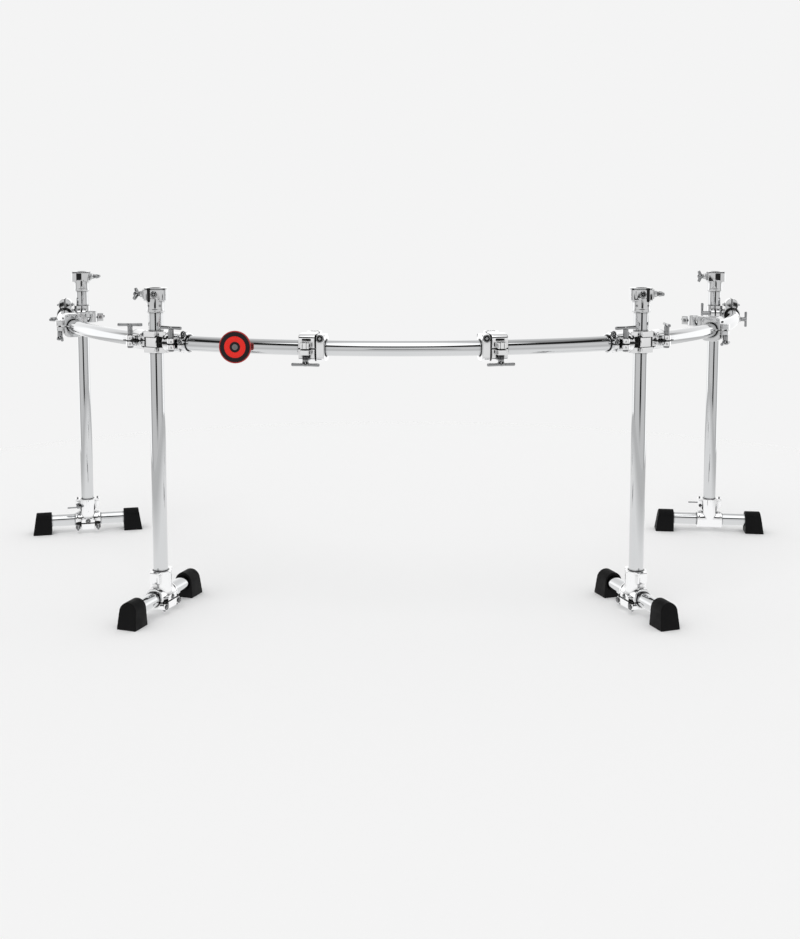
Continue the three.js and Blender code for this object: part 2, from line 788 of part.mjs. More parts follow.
// T-shaped casting of a foot. The origin is on the floor under the leg, and the foot tube runs along X.
function footClamp() {
  const half = foot.saddleLength / 2;
  const outer = boreRadius + foot.saddleWall;
  const axis = foot.tubeHeight;
  const flangeLow = foot.socketTop - foot.flangeHeight;
  const boltY = -foot.frontLugFront;
  const sideX = half - foot.sideLugWidth;
  const sideY = -foot.sideLugFront + keyScrew.radius;
  const sideLugs = [-1, 1].map((side) => {
    const [low, high] = [side * sideX, side * half].sort((a, b) => a - b);
    const middle = (low + high) / 2;
    const screwBottom = foot.sideLugBottom - keyScrew.head;
    return join(
      block([low, high], [-foot.sideLugFront, 0], [foot.sideLugBottom, foot.sideLugTop]),
      rod(keyScrew.radius, [middle, sideY, screwBottom], [middle, sideY, foot.sideLugTop], boltSides),
    );
  });
  const ears = [-foot.earReach, foot.earReach];
  const frontLug = [-foot.frontLugHalfWidth, foot.frontLugHalfWidth];
  const body = join(
    rod(outer, [-half, 0, axis], [half, 0, axis]),
    rod(foot.socketRadius, [0, 0, axis], [0, 0, foot.socketTop]),
    block(ears, [-foot.earHalfDepth, foot.earHalfDepth], [foot.earBottom, flangeLow]),
    block(ears, [-foot.flangeHalfDepth, foot.flangeHalfDepth], [flangeLow, foot.socketTop]),
    block(frontLug, [boltY, 0], [foot.frontLugBottom, foot.frontLugTop]),
    ...sideLugs,
  );
  const hollowed = cut(
    body,
    bore(boreRadius, [-half - cutOverrun, 0, axis], [half + cutOverrun, 0, axis]),
    bore(boreRadius, [0, 0, legBottom - seatGap], [0, 0, foot.socketTop + cutOverrun]),
    block([-half - cutOverrun, half + cutOverrun], [boltY - cutOverrun, -tubeRadius / 2],
      [foot.frontSlitHeight - halfSlit, foot.frontSlitHeight + halfSlit]),
    bore(
      holeRadius,
      [footBoltX, -foot.flangeHalfDepth, footBolt.height],
      [footBoltX, foot.flangeHalfDepth, footBolt.height],
      boltSides,
    ),
  );
  return join(
    hollowed,
    rod(foot.frontBoltRadius, [0, boltY, foot.frontLugBottom - foot.frontBoltReach],
      [0, boltY, foot.frontLugTop + foot.frontBoltReach], smallSides),
  );
}

const footBoltSolid = () => boltSolid({
  tip: [footBoltX, foot.earHalfDepth, footBolt.height],
  seat: [footBoltX, -foot.earHalfDepth - seatGap, footBolt.height],
  handle: [-1, 0, 0],
  size: { ...tBolt, ...footBolt },
});

// Rubber boot on one end of a foot tube. X runs outwards from the boot's mouth.
function bootSolid() {
  const halfBottom = boot.bottomWidth / 2;
  const archCentre = boot.height - boot.archRadius;
  const arch = Array.from({ length: boot.archSteps + 1 }, (_, step) => {
    const angle = Math.PI * step / boot.archSteps;
    return [boot.archRadius * Math.cos(angle), archCentre + boot.archRadius * Math.sin(angle)];
  });
  const rightSide = [[halfBottom, 0], [halfBottom, boot.cornerRadius]];
  const leftSide = [[-halfBottom, boot.cornerRadius], [-halfBottom, 0]];
  const slope = Math.atan2(boot.length - boot.topLength, boot.height);
  const end = new THREE.BoxGeometry(boot.length, 2 * boot.bottomWidth, 2 * boot.height);
  end.translate(boot.length / 2, 0, 0);
  end.rotateY(-slope);
  end.translate(boot.length, 0, 0);
  return cut(
    profile([...rightSide, ...arch, ...leftSide], 0, boot.length),
    solid(end),
    bore(tubeRadius + seatGap, [-cutOverrun, 0, foot.tubeHeight], [boot.tubeDepth, 0, foot.tubeHeight]),
  );
}

// Badge: a round plate with a raised rim, on a spring clip round the bar
function badgeSolid() {
  const clipBore = bentBoreRadius(badge.clipWidth);
  const clipOuter = clipBore + badge.clipWall;
  const back = -badge.standOff;
  const front = back - badge.thickness;
  const half = badge.clipWidth / 2;
  const rimFront = front - badge.rimHeight;
  const recess = badge.radius - badge.rimWidth;
  const through = [-half - cutOverrun, half + cutOverrun];
  const plate = cut(
    join(
      rod(badge.radius, [0, back, 0], [0, front, 0], plateSides),
      rod(badge.radius, [0, front, 0], [0, rimFront, 0], plateSides),
    ),
    rod(recess, [0, front, 0], [0, rimFront - cutOverrun, 0], plateSides),
  );
  const turned = plate
    .translate([0, badge.standOff, 0])
    .rotate([0, 0, THREE.MathUtils.radToDeg(badge.turn)])
    .translate([0, -badge.standOff, 0]);
  return cut(
    join(
      turned,
      rod(clipOuter, [-half, 0, 0], [half, 0, 0]),
      rod(badge.stemRadius, [0, back - badge.thickness / 2, 0], [0, 0, 0], smallSides),
    ),
    bore(clipBore, [through[0], 0, 0], [through[1], 0, 0]),
    block(through, [badge.clipOpening, clipOuter + cutOverrun], [-clipOuter, clipOuter]),
  );
}

// Places are given for the left half of the rack. The corner clamps' sleeves lie along the bars,
// so each bar's arc is found from the leg's axis and its clamp's heading.
const frontCorner = { x: -halfSpacing, y: 0, z: barHeight, heading: -frontBarAngle };
const wingCorner = { ...frontCorner, heading: Math.PI / 2 + wingAngle };

// The front bar's arc turns left as X grows, so its radius is negative
function frontBarArc() {
  const half = frontBarAngle + (forkMiddle - barSetback) / frontBarRadius;
  const start = new THREE.Vector3(
    -frontBarRadius * Math.sin(half),
    frontBarCentreY - frontBarRadius * Math.cos(half),
    0,
  );
  return new LevelArc(start, -half, -frontBarRadius, 2 * half * frontBarRadius);
}

// The wing bar's arc, measured from the point where it comes nearest to the front leg's axis
function wingBarPath() {
  const heading = wingCorner.heading;
  const middle = new THREE.Vector3(
    wingCorner.x + tongueMiddle * Math.cos(heading),
    wingCorner.y + tongueMiddle * Math.sin(heading),
    0,
  );
  const back = new LevelArc(middle, heading + Math.PI, -wingBarRadius, tongueMiddle);
  const start = back.at(tongueMiddle);
  return new LevelArc(start, heading + tongueMiddle / wingBarRadius, wingBarRadius, backClampAt);
}

const wingPath = wingBarPath();

const wingBarArc = () => new LevelArc(
  wingPath.at(barSetback),
  wingPath.headingAt(barSetback),
  wingBarRadius,
  wingBarLength,
);

function onFrontBar(x, further = 0) {
  const turn = Math.asin(x / frontBarRadius) + further / frontBarRadius;
  const y = frontBarCentreY - frontBarRadius * Math.cos(turn);
  return { x: frontBarRadius * Math.sin(turn), y, z: barHeight, heading: turn };
}

function onWingBar(distance) {
  const point = wingPath.at(distance);
  return { x: point.x, y: point.y, z: barHeight, heading: wingPath.headingAt(distance) };
}

const barLevel = { x: 0, y: 0, z: barHeight, heading: 0 };
const backCorner = onWingBar(backClampAt);
const backLeg = {
  x: backCorner.x + backClamp.offset * Math.sin(backCorner.heading),
  y: backCorner.y - backClamp.offset * Math.cos(backCorner.heading),
};

const footCentred = straightTube(foot.tubeLength)
  .rotateY(Math.PI / 2)
  .translate(-foot.tubeLength / 2, 0, foot.tubeHeight);

const rack = new THREE.Group();
const shapes = {
  leg: straightTube(legLength),
  footTube: footCentred,
  fork: skin(cornerFork()),
  cornerBolt: skin(cornerBolt()),
  tongue: otherHand(skin(cornerTongue())),
  multiBody: skin(multiBody()),
  multiJaw: skin(multiJaw()),
  multiBolt: skin(multiBoltSolid()),
  multiLock: skin(multiLockRing()),
  wingMulti: otherHand(skin(wingMultiClamp())),
  wingMultiBolt: otherHand(skin(multiBoltSolid())),
  receiver: skin(receiverBody()),
  footClamp: skin(footClamp()),
  footBolt: skin(footBoltSolid()),
  boot: skin(bootSolid()),
};

// Adds a piece at a place of the left half, or its mirror image at the mirrored place
function add(parent, name, geometry, material, side, place) {
  const right = side === 'right';
  const mesh = new THREE.Mesh(right ? otherHand(geometry) : geometry, material);
  mesh.name = name;
  mesh.position.set(right ? -place.x : place.x, place.y, place.z);
  mesh.rotation.z = right ? Math.PI - place.heading : place.heading;
  parent.add(mesh);
}

function addLeg(side, end, leg, yaw, receiverHeading) {
  const group = new THREE.Group();
  const tag = `${end}_${side}`;
  const floor = { ...leg, z: 0, heading: yaw };
  const crown = { ...leg, z: legTop, heading: receiverHeading };
  add(group, `leg_tube_${tag}`, shapes.leg, materials.tube, side, { ...leg, z: legBottom, heading: 0 });
  add(group, `receiver_${tag}`, shapes.receiver, materials.casting, side, crown);
  add(group, `receiver_bolt_${tag}`, skin(receiverBolt(tag)), materials.bolt, side, crown);
  add(group, `foot_clamp_${tag}`, shapes.footClamp, materials.casting, side, floor);
  add(group, `foot_bolt_${tag}`, shapes.footBolt, materials.bolt, side, floor);
  add(group, `foot_tube_${tag}`, shapes.footTube, materials.tube, side, floor);
  const mouth = foot.tubeLength / 2 + seatGap - boot.tubeDepth;
  const far = shapes.boot.clone().translate(mouth, 0, 0);
  const near = far.clone().rotateZ(Math.PI);
  add(group, `boot_a_${tag}`, near, materials.rubber, side, floor);
  add(group, `boot_b_${tag}`, far, materials.rubber, side, floor);
  rack.add(group);
}

function addSide(side, frontYaw, backYaw) {
  const group = new THREE.Group();
  const multiX = side === 'right' ? -multiClampX.right : multiClampX.left;
  const multiPlace = onFrontBar(multiX);
  const lockPlace = onFrontBar(multiX, (multi.length + multiLock.length) / 2 + multiLock.gap);
  const wingMultiPlace = onWingBar(wingClampAt[side]);
  const wingTube = bentTube(wingBarArc(), wingSteps);
  add(group, `wing_bar_${side}`, wingTube, materials.tube, side, barLevel);
  add(group, `corner_clamp_${side}`, shapes.fork, materials.casting, side, frontCorner);
  add(group, `corner_bolt_${side}`, shapes.cornerBolt, materials.bolt, side, frontCorner);
  add(group, `wing_clamp_${side}`, shapes.tongue, materials.casting, side, wingCorner);
  add(group, `wing_bolt_${side}`, otherHand(skin(tongueBolt(side))), materials.bolt, side, wingCorner);
  add(group, `back_clamp_${side}`, otherHand(skin(rightAngleClamp(side))), materials.casting, side, backCorner);
  add(group, `back_bolt_${side}`, otherHand(skin(rightAngleBolt(side))), materials.bolt, side, backCorner);
  add(group, `multi_clamp_${side}`, shapes.multiBody, materials.casting, side, multiPlace);
  add(group, `multi_jaw_${side}`, shapes.multiJaw, materials.casting, side, multiPlace);
  add(group, `multi_bolt_${side}`, shapes.multiBolt, materials.bolt, side, multiPlace);
  add(group, `memory_lock_${side}`, shapes.multiLock, materials.casting, side, lockPlace);
  add(group, `wing_multi_clamp_${side}`, shapes.wingMulti, materials.casting, side, wingMultiPlace);
  add(group, `wing_multi_bolt_${side}`, shapes.wingMultiBolt, materials.bolt, side, wingMultiPlace);
  rack.add(group);
  addLeg(side, 'front', { x: -halfSpacing, y: 0 }, frontYaw, 0);
  addLeg(side, 'back', backLeg, backYaw, Math.PI);
}

add(rack, 'front_bar', bentTube(frontBarArc(), barSteps), materials.tube, 'left', barLevel);
add(rack, 'badge', skin(badgeSolid()), materials.badge, 'left', onFrontBar(badge.x));
addSide('left', footYaw.frontLeft, footYaw.backLeft);
addSide('right', footYaw.frontRight, footYaw.backRight);

// The origin is on the floor, under the middle of the whole rack
const centre = new THREE.Box3().setFromObject(rack, true).getCenter(new THREE.Vector3());
rack.position.set(-centre.x, -centre.y, 0);

export default rack;
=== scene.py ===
"""Dressed scene of the drum rack frame: chrome tubes and castings on a pale studio floor.

Shapes are made in millimetres in each piece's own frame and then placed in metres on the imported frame.
"""
import math

import bmesh
import bpy
from mathutils import Matrix, Vector


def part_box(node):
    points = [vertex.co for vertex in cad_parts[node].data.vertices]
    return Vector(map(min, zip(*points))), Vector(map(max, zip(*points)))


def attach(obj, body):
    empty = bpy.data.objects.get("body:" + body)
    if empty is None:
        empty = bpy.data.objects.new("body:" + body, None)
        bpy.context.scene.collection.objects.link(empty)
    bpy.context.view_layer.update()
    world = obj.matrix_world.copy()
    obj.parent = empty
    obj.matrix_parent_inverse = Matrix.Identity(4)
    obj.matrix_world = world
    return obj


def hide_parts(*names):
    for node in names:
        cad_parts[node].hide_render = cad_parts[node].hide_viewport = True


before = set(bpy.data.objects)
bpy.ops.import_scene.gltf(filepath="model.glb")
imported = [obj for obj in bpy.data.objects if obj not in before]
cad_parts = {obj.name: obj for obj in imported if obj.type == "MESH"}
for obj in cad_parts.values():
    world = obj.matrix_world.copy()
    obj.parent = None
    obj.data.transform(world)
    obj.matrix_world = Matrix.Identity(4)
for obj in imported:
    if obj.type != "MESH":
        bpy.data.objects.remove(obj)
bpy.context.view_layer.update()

MM = 0.001
SIDES = ("left", "right")
ENDS = ("front", "back")

# Tube and layout, in millimetres
TUBE_RADIUS = 19.05
TUBE_WALL = 1.6
BAR_HEIGHT = 705.0
HALF_SPACING = 617.0
FRONT_ANGLE = math.radians(27.5)
WING_ANGLE = math.radians(46.8)
WING_RADIUS = 1300.0
WING_LENGTH = 914.4
WING_OVERHANG = 5.0
LEG_TOP = 814.5
LEG_BOTTOM = 62.5
FOOT_TUBE_LENGTH = 304.8
FOOT_TUBE_HEIGHT = 40.0

# Fits and walls shared by the castings
BORE = 19.4
CAST_WALL = 6.5
SLEEVE = BORE + CAST_WALL
SLIT = 3.0
SLIT_SPAN = (-SLIT / 2, SLIT / 2)
# Painted shade in slits: half its thickness, and how far its back edge stands from the bore's axis.
SHADE_HALF = 1.3
SHADE_BACK = 20.5
SEAT_GAP = 0.35
OVERRUN = 2.0

# How finely round pieces are divided
ROUND = 96
SMALL = 48
TUBE_SIDES = 72
BAR_STEPS = 120

# Lugs that a T-bolt pulls together, and the bolt's stem
LUG_OFFSET = 36.0
LUG_RADIUS = 11.0
LUG_HEIGHT = 14.0
STEM_RADIUS = 4.0
STEM_HOLE = 4.5

# Corner clamps: fork half with its lock ring, and tongue half
STACK_HEIGHT = 55.0
TONGUE_HEIGHT = 24.4
TONGUE_SPAN = (-TONGUE_HEIGHT / 2, TONGUE_HEIGHT / 2)
TONGUE_FACE = (-22, 11)
FORK_FACE = (-18, 18)
TONGUE_TURN = Matrix.Rotation(FRONT_ANGLE + WING_ANGLE - math.pi / 2, 4, "Z")
FORK_LAYER = TONGUE_HEIGHT / 2 + 0.4
ARM_START = 37.5
FORK_ARM_HALF = 19.0
TONGUE_ARM_HALF = 23.0
FORK_END = ARM_START + 52.0
FORK_BOLT = FORK_END - 14.0
TONGUE_END = ARM_START + 48.0
TONGUE_BOLT = TONGUE_END - 24.0
LOCK_LENGTH = 14.0
LOCK_END = FORK_END + 1.5 + LOCK_LENGTH
LOCK_START = LOCK_END - LOCK_LENGTH
LOCK_MIDDLE = LOCK_END - LOCK_LENGTH / 2
LOCK_OUTER = BORE + 5.5
LOCK_LUG = 8.0
LOCK_LUG_HALF = 12.0
LOCK_CUP_HEIGHT = 24.0

# Right-angle clamps at the back legs
BACK_OFFSET = 52.0
BACK_LENGTH = 45.0
BACK_RISE = 6.0
LOBE_HEIGHT = 31.0
LOBE_RADIUS = 20.0
BAR_BOLT_AT = (0, -30, -15)

# Hinged multi clamps and their lock rings
MULTI_HALF = 20.5
MULTI_TOP = 35.5
MULTI_BOTTOM = -32.0
MULTI_DEPTH = 26.5
MULTI_LUG = ((-11, 11), (-46, -BORE))
MULTI_LUG_TOP = LUG_HEIGHT + 2
MULTI_LOCK_HALF = 10.25
MULTI_LOCK_SHIFT = MULTI_HALF + 2.4 + MULTI_LOCK_HALF
LOCK_SCREW_HEIGHT = 25.2
WINDOW = (19.2, 23.8)
HINGE_Y = 32.0
HALF_KNUCKLE = 7.0
KNUCKLE = 5.5
HINGE_GAP = 0.4
ROD_AT = 54.0
ROD_LUG_HALF = 9.0
ROD_BOLT_Y = 78.9
ROD_BOLT_HEIGHT = 21.75
MULTI_X = {"left": -217.0, "right": -240.0}
WING_MULTI_AT = {"left": 530.0, "right": 405.0}

# Receivers on top of the legs. Their bolts stand on the near side.
RECEIVER_HIGH = 27.0
RECEIVER_LOW = -5.0
RECEIVER_MIDDLE = (RECEIVER_LOW + RECEIVER_HIGH) / 2
RECEIVER_NEAR = -26.0
RECEIVER_FAR = 29.5
RECEIVER_BOSS = -38.5
RECEIVER_GAP = (-16.6, -9.6)
RECEIVER_GAP_DEPTH = -12.6
RECEIVER_DEPTH = 21.5
SOCKET_RADIUS = 14.5
COLLAR_RADIUS = 23.0
COLLAR_LENGTH = 35.0
GROOVE = (RECEIVER_HIGH - 4.4, RECEIVER_HIGH - 1.7)

# Feet
SADDLE_HALF = 39.0
FLANGE = (103.0, 108.5)
EAR_DEPTH = 12.0
FOOT_BOLT_AT = (-29.5, 86.0)
FOOT_SLIT_HEIGHT = 33.0
FOOT_LUG = (15.0, 30.0)
FOOT_LUG_X = 31.5
FOOT_LUG_Y = 27.0
FOOT_LUG_FRONT = 34.8
FOOT_CAP_FRONT = 33.6
FLANGE_SCREW_X = 31.0
FLANGE_SCREW_HEIGHT = 106.8
BOOT_DEPTH = 40.0
FOOT_YAW = {
    "front_left": math.radians(250.1),
    "front_right": math.radians(250.1),
    "back_left": math.radians(14.3),
    "back_right": math.radians(186.9),
}

# How far each T-bolt was turned when it was tightened, in degrees about its own axis
TIGHTENED = {
    "corner": 0.48,
    "wing_left": -43,
    "wing_right": 47,
    "back_leg_left": 90,
    "back_leg_right": 0,
    "back_bar_left": 0,
    "back_bar_right": 90,
    "front_left": 45,
    "front_right": 90,
    "back_left": 90,
    "back_right": 0,
}

# Badge, on the front bar
BADGE_X = -388.0
BADGE_Y = -31.0
BADGE_TURN = math.radians(12)

# Bars' arcs, worked out from the legs and the clamps' headings
FORK_MIDDLE = (ARM_START + LOCK_END) / 2
TONGUE_MIDDLE = (ARM_START + TONGUE_END) / 2
BAR_SETBACK = ARM_START + SEAT_GAP
FRONT_RADIUS = (HALF_SPACING - FORK_MIDDLE * math.cos(FRONT_ANGLE)) / math.sin(FRONT_ANGLE)
FRONT_CENTRE_Y = FRONT_RADIUS * math.cos(FRONT_ANGLE) - FORK_MIDDLE * math.sin(FRONT_ANGLE)
BACK_CLAMP_AT = BAR_SETBACK + WING_LENGTH - WING_OVERHANG - BACK_LENGTH / 2
WING_HEADING = math.pi / 2 + WING_ANGLE

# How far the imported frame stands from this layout
low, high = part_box("leg_tube_front_left")
SHIFT = Vector(((low.x + high.x) / 2 + HALF_SPACING * MM, (low.y + high.y) / 2, 0))


def arc_point(start, heading, radius, distance):
    """Point and heading after a distance along a level arc that turns right."""
    to = heading - distance / radius
    x = start[0] + radius * (math.sin(heading) - math.sin(to))
    y = start[1] + radius * (math.cos(to) - math.cos(heading))
    return (x, y), to


wing_middle = (
    -HALF_SPACING + TONGUE_MIDDLE * math.cos(WING_HEADING),
    TONGUE_MIDDLE * math.sin(WING_HEADING),
)
wing_start, _ = arc_point(wing_middle, WING_HEADING + math.pi, -WING_RADIUS, TONGUE_MIDDLE)
wing_start_heading = WING_HEADING + TONGUE_MIDDLE / WING_RADIUS


def on_wing(distance):
    """Place and heading at a distance along the left wing bar, from its leg."""
    (x, y), heading = arc_point(wing_start, wing_start_heading, WING_RADIUS, distance)
    return (x, y, BAR_HEIGHT, heading)


def on_front_turn(turn):
    y = FRONT_CENTRE_Y - FRONT_RADIUS * math.cos(turn)
    return (FRONT_RADIUS * math.sin(turn), y, BAR_HEIGHT, turn)


def on_front(x, further=0.0):
    """Place and heading on the front bar at a given X, or further along the bar from there."""
    return on_front_turn(math.asin(x / FRONT_RADIUS) + further / FRONT_RADIUS)


BACK_CORNER = on_wing(BACK_CLAMP_AT)
LEG_AT = {
    "front": (-HALF_SPACING, 0.0),
    "back": (
        BACK_CORNER[0] + BACK_OFFSET * math.sin(BACK_CORNER[3]),
        BACK_CORNER[1] - BACK_OFFSET * math.cos(BACK_CORNER[3]),
    ),
}


# Mesh building. Every shape is a closed mesh in millimetres.
def mesh_from(bm, name="shape"):
    bmesh.ops.recalc_face_normals(bm, faces=bm.faces)
    mesh = bpy.data.meshes.new(name)
    bm.to_mesh(mesh)
    bm.free()
    return mesh


def lathe(outline, sides=SMALL, closed=False):
    """Turns (radius, height) points about Z. A closed outline makes a ring."""
    bm = bmesh.new()
    turns = [2 * math.pi * k / sides for k in range(sides)]
    rings = []
    for radius, height in outline:
        if radius == 0:
            rings.append([bm.verts.new((0, 0, height))])
            continue
        rings.append([
            bm.verts.new((radius * math.cos(turn), radius * math.sin(turn), height)) for turn in turns
        ])
    pairs = list(zip(rings, rings[1:]))
    if closed:
        pairs.append((rings[-1], rings[0]))
    for a, b in pairs:
        for k in range(sides):
            n = (k + 1) % sides
            if len(a) == 1 and len(b) == 1:
                continue
            if len(a) == 1:
                bm.faces.new((a[0], b[k], b[n]))
            elif len(b) == 1:
                bm.faces.new((a[k], a[n], b[0]))
            else:
                bm.faces.new((a[k], a[n], b[n], b[k]))
    if not closed:
        for ring in (rings[0], rings[-1]):
            if len(ring) > 1:
                bm.faces.new(ring)
    return mesh_from(bm)


def moved(mesh, matrix):
    """A copy of a mesh, moved."""
    result = mesh.copy()
    result.transform(matrix)
    if matrix.determinant() < 0:
        result.flip_normals()
    return result


def towards(start, direction, across=None):
    """Matrix that carries Z to a direction, and X to across, from a start point."""
    z = Vector(direction).normalized()
    x = Vector(across) if across else z.orthogonal()
    x = (x - z * x.dot(z)).normalized()
    y = z.cross(x)
    turn = Matrix((x, y, z)).transposed().to_4x4()
    return Matrix.Translation(Vector(start)) @ turn


def rod(radius, start, end, sides=ROUND):
    start = Vector(start)
    run = Vector(end) - start
    plain = lathe([(radius, 0), (radius, run.length)], sides)
    return moved(plain, towards(start, run))


def along_x(radius, x0, x1, y=0.0, z=0.0, sides=ROUND):
    return rod(radius, (x0, y, z), (x1, y, z), sides)


def along_y(radius, y0, y1, x=0.0, z=0.0, sides=SMALL):
    return rod(radius, (x, y0, z), (x, y1, z), sides)


def along_z(radius, z0, z1, x=0.0, y=0.0, sides=ROUND):
    return rod(radius, (x, y, z0), (x, y, z1), sides)


def prism(points, low, high):
    """An outline in X and Y, drawn up from low to high."""
    bm = bmesh.new()
    bottom = [bm.verts.new((x, y, low)) for x, y in points]
    top = [bm.verts.new((x, y, high)) for x, y in points]
    bm.faces.new(bottom)
    bm.faces.new(top)
    for k in range(len(points)):
        n = (k + 1) % len(points)
        bm.faces.new((bottom[k], bottom[n], top[n], top[k]))
    return mesh_from(bm)


def block(xs, ys, zs):
    corners = [(xs[0], ys[0]), (xs[1], ys[0]), (xs[1], ys[1]), (xs[0], ys[1])]
    return prism(corners, *zs)


def profile(points, x0, x1):
    """An outline in Y and Z, drawn out along X."""
    turned = Matrix(((0, 0, 1, 0), (1, 0, 0, 0), (0, 1, 0, 0), (0, 0, 0, 1)))
    return moved(prism(points, x0, x1), turned)


def rounded(half_x, half_y, radius, steps=8):
    """Outline of a rectangle with round corners."""
    points = []
    for cx, cy, start in ((1, 1, 0), (-1, 1, 90), (-1, -1, 180), (1, -1, 270)):
        for k in range(steps + 1):
            angle = math.radians(start + 90 * k / steps)
            points.append((
                cx * (half_x - radius) + radius * math.cos(angle),
                cy * (half_y - radius) + radius * math.sin(angle),
            ))
    return points


def linked(name, data):
    o = bpy.data.objects.new(name, data)
    bpy.context.scene.collection.objects.link(o)
    return o


def evaluated(o):
    """The object's mesh with its modifiers applied. The object itself is removed."""
    graph = bpy.context.evaluated_depsgraph_get()
    result = bpy.data.meshes.new_from_object(o.evaluated_get(graph))
    bpy.data.objects.remove(o)
    return result


def boolean(first, others, operation):
    base = linked("work", first)
    tools = [linked("work", mesh) for mesh in others]
    for tool in tools:
        step = base.modifiers.new("step", "BOOLEAN")
        step.operation = operation
        step.solver = "MANIFOLD"
        step.object = tool
    result = evaluated(base)
    for tool in tools:
        bpy.data.objects.remove(tool)
    return result


def join(first, *others):
    return boolean(first, others, "UNION")


def cut(whole, *holes):
    return boolean(whole, holes, "DIFFERENCE")


def together(*meshes):
    """Several closed meshes as one mesh, each still closed by itself."""
    bm = bmesh.new()
    for mesh in meshes:
        bm.from_mesh(mesh)
    result = bpy.data.meshes.new("shape")
    bm.to_mesh(result)
    bm.free()
    return result


MIRROR = Matrix.Scale(-1, 4, (0, 1, 0))
HANDS = (("plain", Matrix.Identity(4)), ("mirror", MIRROR))


def crisp(mesh):
    """Smooth shading with creases, in both hands."""
    hands = {}
    for hand, matrix in HANDS:
        made = moved(mesh, matrix)
        made.shade_smooth()
        made.set_sharp_from_angle(angle=math.radians(35))
        hands[hand] = made
    return hands


def cast(mesh, voxel=0.8, rounds=12, faces=9000):
    """A casting: edges and inner corners rounded as a foundry leaves them, in both hands."""
    o = linked("work", mesh)
    remesh = o.modifiers.new("remesh", "REMESH")
    remesh.mode = "VOXEL"
    remesh.voxel_size = voxel
    smooth = o.modifiers.new("smooth", "SMOOTH")
    smooth.factor = 0.5
    smooth.iterations = rounds
    fine = evaluated(o)
    fine.shade_smooth()
    fine.calc_loop_triangles()
    light = fine
    if len(fine.loop_triangles) > faces:
        o = linked("work", fine.copy())
        thin = o.modifiers.new("thin", "DECIMATE")
        thin.ratio = faces / len(fine.loop_triangles)
        light = evaluated(o)
    hands = {}
    for hand, matrix in HANDS:
        source = linked("work", moved(fine, matrix))
        source.data.shade_smooth()
        target = linked("work", moved(light, matrix))
        target.data.shade_smooth()
        carry = target.modifiers.new("normals", "DATA_TRANSFER")
        carry.object = source
        carry.use_loop_data = True
        carry.data_types_loops = {"CUSTOM_NORMAL"}
        carry.loop_mapping = "POLYINTERP_NEAREST"
        hands[hand] = evaluated(target)
        bpy.data.objects.remove(source)
    return hands


# Tubes
def tube(path):
    """A hollow tube along (x, y, z, heading) places in millimetres, with softened end rims."""
    soften = 0.4
    inner = TUBE_RADIUS - TUBE_WALL
    bm = bmesh.new()

    def ring(place, radius, along=0.0):
        x, y, z, heading = place
        forward = Vector((math.cos(heading), math.sin(heading), 0))
        across = Vector((-math.sin(heading), math.cos(heading), 0))
        centre = Vector((x, y, z)) + forward * along
        turns = [2 * math.pi * k / TUBE_SIDES for k in range(TUBE_SIDES)]
        return [
            bm.verts.new(
                centre + across * (radius * math.cos(turn)) + Vector((0, 0, radius * math.sin(turn)))
            )
            for turn in turns
        ]

    rings = [
        ring(path[0], inner + soften),
        ring(path[0], TUBE_RADIUS - soften),
        ring(path[0], TUBE_RADIUS, soften),
        *[ring(place, TUBE_RADIUS) for place in path[1:-1]],
        ring(path[-1], TUBE_RADIUS, -soften),
        ring(path[-1], TUBE_RADIUS - soften),
        ring(path[-1], inner + soften),
        ring(path[-1], inner, -soften),
        *[ring(place, inner) for place in reversed(path[1:-1])],
        ring(path[0], inner, soften),
    ]
    for a, b in zip(rings, rings[1:] + rings[:1]):
        for k in range(TUBE_SIDES):
            n = (k + 1) % TUBE_SIDES
            bm.faces.new((a[k], a[n], b[n], b[k]))
    return mesh_from(bm)


def straight_tube(length):
    """A tube standing on the origin."""
    steps = 24
    path = [(length * k / steps, 0, 0, 0) for k in range(steps + 1)]
    return moved(tube(path), towards((0, 0, 0), (0, 0, 1)) @ Matrix.Rotation(-math.pi / 2, 4, "Y"))


# Fasteners. The seat is at the origin and the head stands up along Z.
def thread(length):
    """A threaded stem below the seat."""
    pitch = 1.25
    root = STEM_RADIUS - 0.55
    turns = int(length / pitch)
    outline = [(0, -length), (root, -length)]
    for k in range(turns):
        z = -length + pitch * k
        outline += [(root, z + 0.2), (STEM_RADIUS, z + 0.6), (STEM_RADIUS, z + 0.8)]
    outline += [(root, -length + pitch * turns), (STEM_RADIUS, 0), (STEM_RADIUS, 1), (0, 1)]
    return lathe(outline, 20)


def fluted(radius, low, high):
    """A grip with rounded grooves along it."""
    flutes = 6
    groove = 1.1
    reach = radius + groove * 1.2
    grooves = []
    for k in range(flutes):
        turn = 2 * math.pi * k / flutes
        x, y = reach * math.cos(turn), reach * math.sin(turn)
        grooves.append(along_z(groove * 2.2, low - 1, high + 1, x, y, 20))
    return cut(along_z(radius, low, high, sides=SMALL), *grooves)


